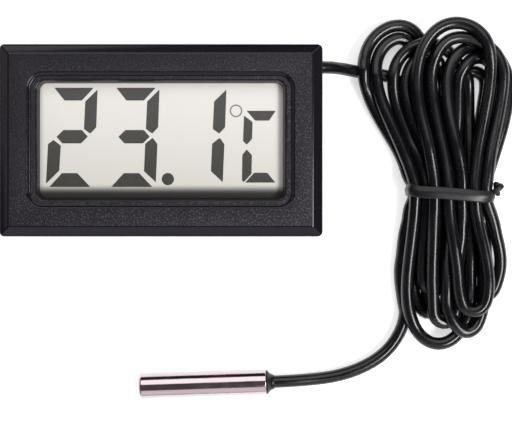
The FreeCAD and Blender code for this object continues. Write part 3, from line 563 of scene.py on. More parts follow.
@dataclass(frozen=True)
class DarkenedCrystal(Finish):
    """A lit segment of the display: dark grey, greener and darker towards the bottom."""

    lower: Colour = (0.038, 0.038, 0.03)

    def dress(self, graph: Graph, shader: bpy.types.Node, place: bpy.types.NodeSocket) -> None:
        """Fades the colour up the display, and adds the film's faint grain.

        Args:
            graph: The material's node graph.
            shader: Its Principled shader.
            place: The Object coordinates.
        """
        axes = graph.add("ShaderNodeSeparateXYZ", {0: place})
        up = graph.fade(axes.outputs["Y"], -0.008, 0.008)
        grain = graph.add("ShaderNodeTexNoise", {"Vector": place, "Scale": 7000.0, "Detail": 2.0})
        tone = graph.mix(up, rgba(self.lower), rgba(self.colour))
        pale = tuple(1.35 * c for c in self.colour)
        specks = graph.fade(grain.outputs["Fac"], 0.4, 0.7, 0.0, 0.4)
        graph.tree.links.new(graph.mix(specks, tone, rgba(pale)), shader.inputs["Base Color"])
        shader.inputs["Specular IOR Level"].default_value = 0.3


@dataclass(frozen=True)
class ClearGlass(Finish):
    """Thin clear display glass with a faintly cloudy surface."""

    def dress(self, graph: Graph, shader: bpy.types.Node, place: bpy.types.NodeSocket) -> None:
        """Lets light through, with a little haze.

        Args:
            graph: The material's node graph.
            shader: Its Principled shader.
            place: The Object coordinates.
        """
        marks = self.effect(graph, EFFECTS.handling(), place)
        rough = graph.fade(marks.outputs["Cloud"], 0.0, 1.0, 0.02, 0.08)
        graph.tree.links.new(rough, shader.inputs["Roughness"])
        shader.inputs["Transmission Weight"].default_value = 1.0
        shader.inputs["IOR"].default_value = 1.5


@dataclass(frozen=True)
class Laminate(Finish):
    """A circuit board: lacquer over paler copper tracks."""

    track: Colour = (0.06, 0.3, 0.14)

    def dress(self, graph: Graph, shader: bpy.types.Node, place: bpy.types.NodeSocket) -> None:
        """Draws tracks as bands of a warped wave, and raises them slightly.

        Args:
            graph: The material's node graph.
            shader: Its Principled shader.
            place: The Object coordinates.
        """
        tracks = graph.add(
            "ShaderNodeTexWave",
            {"Vector": place, "Scale": 160.0, "Distortion": 3.0, "Detail": 0.0, "Detail Scale": 0.6},
            bands_direction="Y",
        )
        shown = graph.fade(tracks.outputs["Fac"], 0.7, 0.8)
        colour = graph.mix(shown, rgba(self.colour), rgba(self.track))
        graph.tree.links.new(colour, shader.inputs["Base Color"])
        shader.inputs["Coat Weight"].default_value = 0.4
        self.bump(graph, shader, shown, 0.00002)


@dataclass(frozen=True)
class StripedRubber(Finish):
    """Connector rubber made of thin conducting and insulating layers side by side."""

    layer: Colour = (0.3, 0.3, 0.29)

    def dress(self, graph: Graph, shader: bpy.types.Node, place: bpy.types.NodeSocket) -> None:
        """Stripes the rubber along the display's length.

        Args:
            graph: The material's node graph.
            shader: Its Principled shader.
            place: The Object coordinates.
        """
        stripes = graph.add("ShaderNodeTexWave", {"Vector": place, "Scale": 1500.0}, bands_direction="X")
        shown = graph.fade(stripes.outputs["Fac"], 0.6, 0.8)
        colour = graph.mix(shown, rgba(self.colour), rgba(self.layer))
        graph.tree.links.new(colour, shader.inputs["Base Color"])
        self.bump(graph, shader, stripes.outputs["Fac"], 0.00001)


PROBE_TURN = math.radians(1.92)

# Its lighter facets are painted glints off the pitted skin, and the corner given below paints them stronger
# towards the lower right, where the light falls.
CASE_PLASTIC = MouldedPlastic(
    "spark textured case plastic", (0.0062, 0.0052, 0.0088), 0.5, facet=(0.11, 0.1, 0.125), pits=4400.0,
    depth=0.00007, sheen=0.3, smooth_slopes=True, slope_roughness=0.14, painted_light_corner=(21.0, -35.0, 0.0),
)
COVER_PLASTIC = MouldedPlastic(
    "fine matt cover plastic", (0.013, 0.0125, 0.014), 0.55, pits=6500.0, depth=0.000006
)
TIE_PLASTIC = Extruded("tie plastic", (0.0055, 0.005, 0.0065), 0.34, sheen=0.45)
CORD_SHEATH = Extruded(
    "black cord sheath", (0.003, 0.0028, 0.004), 0.2, waves=500.0, depth=0.000002, sheen=0.45
)
WIRE_SHEATH = Extruded("wire insulation", (0.02, 0.02, 0.022), 0.3)
RESIN = Extruded("black resin", (0.005, 0.005, 0.005), 0.3, waves=700.0, depth=0.00003, sheen=0.3)
THERMISTOR_COAT = Extruded("thermistor coat", (0.06, 0.04, 0.03), 0.2)
NYLON = MouldedPlastic("natural nylon", (0.6, 0.6, 0.55), 0.45, facet=(0.75, 0.75, 0.7), depth=0.000003)
GLUE = Extruded("anchoring glue", (0.7, 0.68, 0.58), 0.35, waves=500.0, depth=0.00005)
CHIP_CERAMIC = MouldedPlastic(
    "resistor ceramic", (0.03, 0.03, 0.033), 0.5, facet=(0.6, 0.6, 0.6), pits=1500.0
)
CAPACITOR_CERAMIC = MouldedPlastic(
    "capacitor ceramic", (0.34, 0.24, 0.14), 0.5, facet=(0.5, 0.4, 0.28), pits=3000.0
)
CELL_STEEL = Metal("plated cell steel", (0.6, 0.6, 0.58), 0.22)
SCREW_STEEL = Metal("screw steel", (0.42, 0.42, 0.42), 0.3)
SPRING_BRASS = Metal("spring brass", (0.7, 0.5, 0.2), 0.22)
SOLDER = Metal("solder", (0.6, 0.61, 0.63), 0.25, lines=(900.0, 900.0, 900.0), depth=0.00001)
# Its pinkish tint is a painted reflection of the pinkish surroundings that the polished tube mirrors.
PROBE_STEEL = Metal(
    "polished probe steel", (0.6, 0.515, 0.535), 0.06, lines=(250.0, 5200.0, 5200.0), turn=PROBE_TURN,
    spread=0.14, depth=0.000004,
)
FILM = DisplayFilm("display film", (0.72, 0.70, 0.67), 0.45)
CRYSTAL = DarkenedCrystal("lit segment", (0.066, 0.066, 0.062), 0.45)
FAINT_CRYSTAL = DarkenedCrystal("faint lit segment", (0.2, 0.2, 0.19), 0.45, lower=(0.16, 0.16, 0.15))
GLASS = ClearGlass("display glass", (0.9, 0.95, 0.93), 0.03)
LAMINATE = Laminate("board laminate", (0.02, 0.13, 0.06), 0.35)
STRIPED_RUBBER = StripedRubber("striped rubber", (0.02, 0.02, 0.021), 0.6)


@dataclass
class Paintbox:
    """Builds each finish once and puts it on pieces."""

    made: dict[str, bpy.types.Material] = field(default_factory=dict)

    def paint(self, piece: bpy.types.Object, finish: Finish) -> None:
        """Gives a piece one finish, over whatever materials it had.

        Args:
            piece: The object to paint.
            finish: Its finish.
        """
        if finish.name not in self.made:
            self.made[finish.name] = finish.build()
        piece.data.materials.clear()
        piece.data.materials.append(self.made[finish.name])


# The case -------------------------------------------------------------------------------------------


@dataclass
class Mouldings:
    """The moulded plastic pieces, with the small edge radii that a mould leaves."""

    paints: Paintbox
    front_edge: float = 0.2
    other_edge: float = 0.1
    front_from: float = 13.9
    sharp_from: float = 28.0

    def build(self) -> None:
        """Rounds and paints each moulding."""
        self.round_edges("front_housing", Body.CASE, CASE_PLASTIC)
        self.round_edges("rear_cover", Body.CASE, COVER_PLASTIC)
        self.round_edges("battery_cover", Body.BATTERY_COVER, COVER_PLASTIC)
        self.round_edges("snap_clip_left", Body.CLIP_LEFT, CASE_PLASTIC)
        self.round_edges("snap_clip_right", Body.CLIP_RIGHT, CASE_PLASTIC)

    def share(self, node: str, corners: list) -> float:
        """Gives how much of the front's edge radius an edge gets.

        It is all of it on the case's front, none on the case elsewhere, and less on the other mouldings.

        Args:
            node: The moulding's CAD node.
            corners: The edge's two ends, in millimetres.

        Returns:
            A share of the front's radius.
        """
        if node == "front_housing":
            return 1.0 if min(corner[2] for corner in corners) > self.front_from else 0.0
        return self.other_edge / self.front_edge

    def round_edges(self, node: str, body: Body, finish: Finish) -> bpy.types.Object:
        """Makes a rounded twin of a moulding, which stands for it.

        Args:
            node: The moulding's CAD node.
            body: The body that it rides on.
            finish: Its finish.

        Returns:
            The rounded twin.
        """
        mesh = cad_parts[node].data.copy()
        merged = bmesh.new()
        merged.from_mesh(mesh)
        bmesh.ops.remove_doubles(merged, verts=merged.verts, dist=0.002 * MM)
        flat = math.radians(0.8)
        bmesh.ops.dissolve_limit(merged, angle_limit=flat, verts=merged.verts, edges=merged.edges)
        bmesh.ops.recalc_face_normals(merged, faces=merged.faces)
        weight = merged.edges.layers.float.new("bevel_weight_edge")
        for edge in merged.edges:
            if len(edge.link_faces) == 2 and edge.calc_face_angle(0.0) > math.radians(self.sharp_from):
                edge[weight] = self.share(node, [corner.co / MM for corner in edge.verts])
                edge.smooth = edge[weight] > 0
        merged.to_mesh(mesh)
        merged.free()
        mesh.polygons.foreach_set("use_smooth", np.full(len(mesh.polygons), True))
        twin = bpy.data.objects.new(f"{node}_moulding", mesh)
        bpy.context.scene.collection.objects.link(twin)
        softening = twin.modifiers.new("edge radius", "BEVEL")
        softening.width = self.front_edge * MM
        softening.segments = 3
        softening.limit_method = "WEIGHT"
        softening.harden_normals = True
        softening.use_clamp_overlap = False
        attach(twin, body.value)
        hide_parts(node)
        self.paints.paint(twin, finish)
        log.info("%s: %d faces before its edges are rounded", twin.name, len(mesh.polygons))
        return twin


# The display ----------------------------------------------------------------------------------------

Outline = tuple[tuple[float, float], ...]

DIGIT_SEGMENTS: dict[Segment, Outline] = {
    Segment.TOP: ((-2.6, 7.3), (3.26, 7.3), (1.5, 5.4), (-1.09, 5.4)),
    Segment.UPPER_RIGHT: ((3.83, 7.02), (3.64, 1.41), (2.75, 0.46), (1.81, 1.15), (2.0, 5.25)),
    Segment.LOWER_RIGHT: ((2.84, -0.16), (3.53, -1.11), (3.29, -6.78), (1.53, -5.15), (1.71, -1.05)),
    Segment.BOTTOM: ((-3.35, -7.48), (2.75, -7.48), (0.81, -5.43), (-1.47, -5.43)),
    Segment.LOWER_LEFT: ((-2.72, -0.48), (-1.65, -1.33), (-1.87, -5.04), (-3.86, -7.0), (-3.55, -1.11)),
    Segment.MIDDLE: ((-2.29, -0.02), (-1.24, 1.0), (1.5, 1.0), (2.38, 0.02), (1.38, -0.99), (-1.41, -0.99)),
}

UNIT_OUTLINES: tuple[Outline, ...] = (
    ((-1.69, 5.36), (2.65, 5.36), (1.65, 3.9), (-0.43, 3.9)),
    ((-2.08, 4.64), (-0.81, 3.69), (-0.88, 1.17), (-1.69, 0.31), (-2.23, 0.85)),
    ((-1.69, -0.4), (-0.91, -1.26), (-0.97, -4.03), (-2.14, -5.28), (-2.39, -4.97), (-2.33, -1.2)),
    ((-1.91, -5.34), (2.59, -5.34), (1.39, -3.88), (-0.57, -3.88)),
)


TWO = (Segment.TOP, Segment.UPPER_RIGHT, Segment.MIDDLE, Segment.LOWER_LEFT, Segment.BOTTOM)
THREE = (Segment.TOP, Segment.UPPER_RIGHT, Segment.MIDDLE, Segment.LOWER_RIGHT, Segment.BOTTOM)
ONE = (Segment.UPPER_RIGHT, Segment.LOWER_RIGHT)


@dataclass(frozen=True)
class Digit:
    """One digit of the reading: its name, its place and its lit segments."""

    name: str
    middle: float
    lit: tuple[Segment, ...]


@dataclass
class Display:
    """The reading: three digits, a point, a degree ring and the unit, just above the film."""

    paints: Paintbox
    row: float = 0.592
    film_top: float = 13.2
    rise: float = 0.012
    thick: float = 0.012
    corner: float = 0.12
    digits: tuple[Digit, ...] = (
        Digit("tens", -13.357, TWO),
        Digit("ones", -4.125, THREE),
        Digit("tenths", 5.856, ONE),
    )
    point: tuple[float, float] = (0.963, -5.723)
    point_radius: float = 0.91
    degree: tuple[float, float] = (11.122, 4.452)
    degree_radius: float = 0.94
    degree_line: float = 0.2
    unit: tuple[float, float] = (14.399, -0.904)

    def build(self) -> None:
        """Makes the digits, the point, the degree ring and the unit."""
        for digit in self.digits:
            for segment in digit.lit:
                outline = np.array(DIGIT_SEGMENTS[segment]) + (digit.middle, self.row)
                self.segment(f"digit_{digit.name}_{segment.name.lower()}", outline, CRYSTAL)
        for number, outline in enumerate(UNIT_OUTLINES, start=1):
            self.segment(f"unit_stroke_{number}", np.array(outline) + self.unit, CRYSTAL)
        turn = np.linspace(0, 2 * math.pi, 48, endpoint=False)
        circle = np.column_stack([np.cos(turn), np.sin(turn)])
        self.segment("decimal_point", circle * self.point_radius + self.point, CRYSTAL, corner=0.0)
        self.ring(circle)

    def segment(self, name: str, outline: np.ndarray, finish: Finish, corner: float | None = None) -> None:
        """Makes one lit segment with slightly softened corners.

        Args:
            name: The piece's name.
            outline: Its corners, in millimetres.
            finish: Its finish.
            corner: How far the softening reaches along its edges.
        """
        reach = self.corner if corner is None else corner
        shape = softened_corners(outline, reach) if reach else outline
        foot = self.film_top + self.rise
        self.paints.paint(slab(name, shape, foot, foot + self.thick, Body.CASE), finish)

    def ring(self, circle: np.ndarray) -> None:
        """Makes the degree ring: a flat band between two circles, as a closed strip of four-sided sections.

        Args:
            circle: Points on a circle of radius 1.
        """
        foot = self.film_top + self.rise
        corners = [(self.degree_radius, foot), (self.degree_radius, foot + self.thick)]
        corners += [(self.degree_radius - self.degree_line, z) for _, z in reversed(corners)]
        rings = [np.column_stack([circle * r + self.degree, np.full(len(circle), z)]) for r, z in corners]
        points = np.stack(rings, axis=1)
        faces = grid_faces(len(circle), 4, close_rows=True)
        ring = add_piece("degree_ring", points, faces, Body.CASE, smooth=False)
        self.paints.paint(ring, FAINT_CRYSTAL)


# The cord -------------------------------------------------------------------------------------------


@dataclass(frozen=True)
class Fold:
    """One fold of the tied cord: out from the tie along one leg, round a crown, and back along the other.

    The legs' strands are numbers in the tie's table. Levels say how high the left leg, the crown and the
    right leg lie in the pile, 0 lowest.
    """

    left_strand: int
    right_strand: int
    left: tuple[float, float]
    crown: tuple[float, float]
    right: tuple[float, float]
    levels: tuple[float, float, float]


# Each strand's place in the tie: across, and how many strands lie under it.
STRANDS: dict[int, tuple[float, float]] = {
    11: (38.9, 1.0), 13: (39.78, 2.0), 1: (41.8, 2.0), 3: (43.98, 2.0), 5: (46.0, 2.0), 2: (48.18, 2.0),
    4: (50.0, 1.6),
    15: (41.1, 1.0), 17: (43.14, 1.0), 7: (45.34, 1.0), 16: (47.38, 1.0), 6: (49.57, 1.0),
    19: (39.74, 0.0), 14: (41.33, 0.0), 12: (43.0, 0.0), 18: (44.7, 0.0), 9: (46.3, 0.0), 10: (47.9, 0.0),
    8: (49.5, 0.0),
}

# The folds in the order that the cord runs through them, from the case to the probe.
FOLDS: tuple[Fold, ...] = (
    Fold(19, 18, (38.48, -19.49), (41.33, -26.45), (44.18, -20.59), (1, 1, 1)),
    Fold(17, 18, (37.33, 8.15), (41.01, 14.25), (43.82, 9.24), (4, 4, 4)),
    Fold(17, 8, (42.39, -20.53), (46.48, -24.93), (49.62, -20.05), (4, 4, 4)),
    Fold(7, 8, (45.63, 7.64), (49.06, 14.04), (52.18, 8.73), (6, 6, 6)),
    Fold(7, 6, (44.15, -22.77), (47.11, -29.62), (49.6, -24.33), (8, 8, 8)),
    Fold(5, 6, (43.68, 10.24), (48.04, 15.53), (52.71, 9.31), (7, 7, 7)),
    Fold(1, 5, (41.41, -22.8), (43.29, -29.66), (44.69, -24.36), (7, 7, 7)),
    Fold(1, 2, (38.95, 9.81), (45.22, 18.87), (50.79, 12.6), (9, 9, 9)),
    Fold(3, 2, (45.53, -21.77), (48.0, -26.73), (50.17, -21.62), (9, 9, 9)),
    Fold(3, 4, (41.13, 10.5), (45.48, 16.71), (52.47, 10.5), (8, 8, 8)),
    Fold(9, 4, (46.72, -18.93), (49.54, -24.42), (52.28, -18.46), (5, 5, 5)),
    Fold(9, 10, (44.76, 6.12), (48.83, 12.37), (50.4, 10.34), (5, 5, 2)),
    Fold(14, 10, (39.84, -19.78), (43.16, -27.36), (46.63, -21.36), (2, 2, 2)),
    Fold(13, 14, (32.82, 11.4), (37.23, 17.07), (39.59, 10.15), (1, 1, 1)),
    Fold(13, 16, (37.94, -23.8), (42.64, -31.32), (47.66, -24.42), (6, 6, 6)),
    Fold(15, 16, (35.98, 10.39), (41.39, 15.72), (47.34, 8.51), (3, 3, 3)),
    Fold(15, 12, (40.73, -18.5), (42.46, -24.49), (44.19, -18.97), (3, 3, 3)),
    Fold(11, 12, (31.19, 12.3), (37.03, 18.9), (41.42, 10.89), (2, 2, 2)),
)


@dataclass
class Cord:
    """The sensor cord: out of the case, wound and tied in a hank, and on to the probe.

    Its places and sizes are in millimetres, apart from the real cord's length, which is in metres.
    """

    paints: Paintbox
    radius: float = 1.0
    length: float = 1.0
    exit: Point = (23.0, 11.6, 6.5)
    lead: tuple[Point, ...] = ((21.9, 11.6, 6.5), (25.6, 11.85, 5.6), (28.6, 11.65, 2.6), (31.6, 11.3, 1.05))
    under: tuple[Point, ...] = ((35.5, 10.9, 1.03), (38.4, 9.0, 1.03), (40.1, 5.0, 1.03), (40.2, 0.0, 1.3))
    leaving: tuple[Point, ...] = (
        (38.9, -11.3, 3.0), (38.1, -15.3, 2.4), (37.25, -20.4, 1.4), (37.6, -24.3, 1.05),
    )
    tail: tuple[Point, ...] = (
        (37.8, -26.8, 1.2), (36.7, -30.2, 1.03), (34.3, -33.2, 1.03), (30.8, -35.3, 1.03),
        (26.8, -36.6, 1.03), (22.8, -37.05, 1.35), (18.1, -37.309, 2.0), (13.4, -37.467, 2.0),
    )
    tie: tuple[float, float] = (44.4, -7.8)
    tie_thick: float = 0.55
    tie_reach: float = 5.35
    tie_top: float = 6.5
    # How much higher a strand starts for each one under it, in the tie and in the pile.
    layer: float = 1.75
    level: float = 1.7
    # The beads' spacing, how many rounds they settle for, and how many of the first free ones stay
    # underneath, as the lead does.
    bead: float = 1.0
    rounds: int = 420
    under_beads: int = 12
    clearance: float = 0.02
    least_bend: float = 2.0
    # The spacing of the finished curve's points.
    pitch: float = 1.9
    beads: np.ndarray = field(default_factory=lambda: np.zeros((0, 3)))

    def leg(self, strand: int, foot: tuple[float, float], level: float) -> np.ndarray:
        """Lays a leg from the tie to a fold's side.

        The way along goes evenly. The way across and the height follow 3t^2 - 2t^3, so that the leg leaves the
        tie and meets the crown in the hank's own direction.

        Args:
            strand: The strand's number in the tie.
            foot: Where the leg meets the crown.
            level: How high the crown lies in the pile there.

        Returns:
            Points from the tie outwards.
        """
        across, layer = STRANDS[strand]
        start = np.array([across, self.tie[1], self.radius + self.tie_thick + layer * self.layer])
        end = np.array([*foot, self.radius + level * self.level])
        t = np.linspace(0, 1, 16)[:, None]
        eased = 3 * t ** 2 - 2 * t ** 3
        points = start + (end - start) * eased
        points[:, 1] = (start + (end - start) * t)[:, 1]
        return points

    def fold(self, fold: Fold, from_left: bool) -> np.ndarray:
        """Lays one fold, legs and crown.

        The crown is two quarter ellipses that meet at its peak: across by the cosine, along by the sine.

        Args:
            fold: The fold's table row.
            from_left: Whether the cord comes in along the left leg.

        Returns:
            Points from the first leg's end at the tie to the second's.
        """
        left = self.leg(fold.left_strand, fold.left, fold.levels[0])
        right = self.leg(fold.right_strand, fold.right, fold.levels[2])
        t = np.linspace(0, math.pi, 19)[1:-1]
        on_left = t < math.pi / 2
        side = np.where(on_left[:, None], fold.left, fold.right)
        peak = np.array(fold.crown)
        across = peak[0] + (side[:, 0] - peak[0]) * np.abs(np.cos(t))
        along = side[:, 1] + (peak[1] - side[:, 1]) * np.sin(t)
        level = np.interp(t, [0, math.pi / 2, math.pi], fold.levels)
        crown = np.column_stack([across, along, self.radius + level * self.level])
        points = np.vstack([left, crown, right[::-1]])
        return points if from_left else points[::-1]

    def laid_out(self) -> tuple[np.ndarray, int, int]:
        """Strings the lead, every fold and the tail together, and spaces beads evenly along them.

        Returns:
            The beads, the first that is free to move, and the first of the tail.
        """
        parts = [np.array(self.lead), np.array(self.under)]
        strand = 19
        for fold in FOLDS:
            from_left = strand == fold.left_strand
            parts.append(self.fold(fold, from_left))
            strand = fold.right_strand if from_left else fold.left_strand
        parts += [np.array(self.leaving), np.array(self.tail)]
        points = np.vstack(parts)
        steps = np.linalg.norm(np.diff(points, axis=0), axis=1)
        points = points[np.concatenate([[True], steps > 1e-6])]
        way = np.concatenate([[0], np.cumsum(np.linalg.norm(np.diff(points, axis=0), axis=1))])
        even = np.linspace(0, way[-1], int(way[-1] / self.bead) + 1)
        beads = np.column_stack([np.interp(even, way, points[:, k]) for k in range(3)])
        first = int(np.searchsorted(even, way[len(self.lead) - 1]))
        last = int(np.searchsorted(even, way[len(points) - len(self.tail)]))
        return beads, first, last

    def settled(self, start: np.ndarray, first: int, last: int) -> np.ndarray:
        """Lets the cord sink onto the surface and onto itself.

        In each round every bead drops a little and is pushed away from any other stretch nearer than one
        diameter. How far it has moved across the plan is drawn towards nothing and towards how far the beads
        up to eight away have moved, so the folds keep their shapes, and its height is drawn towards the mean
        height round it. Beads in the tie stay within it. The lead's and the tail's beads hold still. The pulls
        that keep the folds' shapes leave some stretches pressed into each other.

        Args:
            start: Bead places, in millimetres.
            first: The first bead that is free to move.
            last: The first bead after it that isn't.

        Returns:
            The settled places.
        """
        now = start.copy()
        count = len(now)
        free = np.zeros((count, 1))
        free[first:last] = 1.0
        number = np.arange(count)
        for turn in range(self.rounds):
            if turn % 8 == 0:
                square = (now ** 2).sum(axis=1)
                apart = square[:, None] + square[None] - 2 * now @ now.T
                near = (apart < (2 * self.radius + 0.9) ** 2) & (number[None] - number[:, None] > 4)
                one, other = np.nonzero(near)
            push = np.zeros_like(now)
            gap = now[other] - now[one]
            distance = np.linalg.norm(gap, axis=1) + 1e-9
            depth = np.clip(2 * self.radius + self.clearance - distance, 0, None)[:, None]
            move = gap / distance[:, None] * depth * 0.32
            over_lead = one < first + self.under_beads
            move[over_lead] = self.lifted(gap[over_lead])
            np.add.at(push, other, move)
            np.add.at(push, one, -move)
            moved = (now - start)[:, :2]
            push[:, :2] -= moved * 0.02
            for reach, share in ((1, 0.25), (3, 0.2), (8, 0.15)):
                mean = (moved[: -2 * reach] + moved[2 * reach :]) / 2
                push[reach:-reach, :2] += (mean - moved[reach:-reach]) * share
                level = (now[: -2 * reach, 2] + now[2 * reach :, 2]) / 2
                push[reach:-reach, 2] += (level - now[reach:-reach, 2]) * share * 0.6
            push[:, 2] -= 0.07 if turn < self.rounds - 80 else 0.02
            now += np.clip(push, -0.35, 0.35) * free
            tied = np.abs(now[:, 1] - self.tie[1]) < 1.6
            floor = np.where(tied, self.radius + self.tie_thick, self.radius)
            now[:, 2] = np.maximum(now[:, 2], floor)
            now[tied, 2] = np.minimum(now[tied, 2], self.tie_top - self.radius)
            now[tied, 0] = np.clip(now[tied, 0], self.tie[0] - self.tie_reach, self.tie[0] + self.tie_reach)
        return now

    def lifted(self, gap: np.ndarray) -> np.ndarray:
        """Gives the upward push on whatever crosses the lead, which always runs underneath.

        Args:
            gap: From the lead's bead to the other one, for each near pair.

        Returns:
            The push on the second bead of each pair.
        """
        across = np.linalg.norm(gap[:, :2], axis=1)
        needed = np.sqrt(np.clip((2 * self.radius + self.clearance) ** 2 - across ** 2, 0, None))
        push = np.zeros_like(gap)
        push[:, 2] = np.clip(needed - gap[:, 2], 0, None) * 0.4
        return push

    def opened(self, beads: np.ndarray, first: int, last: int) -> np.ndarray:
        """Eases the bends that are tighter than least_bend. The sharpest folds don't get all the way there.

        Three beads, four apart end to end, give a bend's chord and its bow; its radius is
        (half chord^2 + bow^2) / (2 * bow). Where that is too small, the middle one moves along the bow and
        the outer two move half as far against it, so that the length holds.

        Args:
            beads: Bead places, in millimetres.
            first: The first bead that is free to move.
            last: The first bead after it that isn't.

        Returns:
            The places after the bends are eased.
        """
        now = beads.copy()
        free = np.zeros((len(now), 1))
        free[first + 1 : last] = 1.0
        for _ in range(160):
            bow = (now[:-4] + now[4:]) / 2 - now[2:-2]
            depth = np.linalg.norm(bow, axis=1)
            half = np.linalg.norm(now[4:] - now[:-4], axis=1) / 2
            radius = (half ** 2 + depth ** 2) / (2 * depth + 1e-9)
            move = bow * np.clip(1 - radius / self.least_bend, 0, 1)[:, None] * 0.4
            push = np.zeros_like(now)
            push[2:-2] += move
            push[:-4] -= move / 2
            push[4:] -= move / 2
            now += push * free
            now[:, 2] = np.maximum(now[:, 2], self.radius)
        return now

    def wound(self, beads: np.ndarray, first: int, last: int) -> np.ndarray:
        """Spaces points evenly along the wound stretch, between the lead's end and the tail's start.

        Args:
            beads: Bead places, in millimetres.
            first: The stretch's first bead.
            last: Its last bead.

        Returns:
            The points between those two.
        """
        span = beads[first : last + 1]
        way = np.concatenate([[0], np.cumsum(np.linalg.norm(np.diff(span, axis=0), axis=1))])
        even = np.linspace(0, way[-1], int(way[-1] / self.pitch) + 1)[1:-1]
        return np.column_stack([np.interp(even, way, span[:, k]) for k in range(3)])

    def build(self) -> bpy.types.Object:
        """Makes the cord as one smooth curve along its route and the settled folds.

        Returns:
            The cord.
        """
        start, first, last = self.laid_out()
        self.beads = self.opened(self.settled(start, first, last), first, last)
        points = np.vstack([self.lead, self.wound(self.beads, first, last), self.tail]) * MM
        curve = bpy.data.curves.new("sensor_cord", "CURVE")
        curve.dimensions = "3D"
        # A curve's box grows by its points' radius, so that carries the cord's size and the bevel is 1.
        curve.bevel_depth = 1.0
        curve.bevel_resolution = 5
        curve.use_fill_caps = True
        spline = curve.splines.new("NURBS")
        spline.points.add(len(points) - 1)
        spline.points.foreach_set("co", np.column_stack([points, np.ones(len(points))]).ravel())
        spline.points.foreach_set("radius", np.full(len(points), self.radius * MM))
        spline.order_u = 3
        spline.use_endpoint_u = True
        spline.resolution_u = 3
        cord = bpy.data.objects.new("sensor_cord", curve)
        bpy.context.scene.collection.objects.link(cord)
        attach(cord, Body.CASE.value)
        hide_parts("cord_lead", "cord_hank", "cord_tail")
        self.paints.paint(cord, CORD_SHEATH)
        log.info("sensor_cord: %d points, 98%% of beads clear by %.2f mm", len(points), self.apart())
        return cord

    def apart(self) -> float:
        """Gives the distance that 98% of the beads keep from any other stretch.

        It is between centres, in millimetres, so under 2 * radius the cord is pressed into itself.

        Returns:
            That distance.
        """
        number = np.arange(len(self.beads))
        apart = np.linalg.norm(self.beads[:, None] - self.beads[None], axis=2)
        apart[np.abs(number[:, None] - number[None]) < 6] = 9.0
        return float(np.quantile(apart.min(axis=1), 0.02))


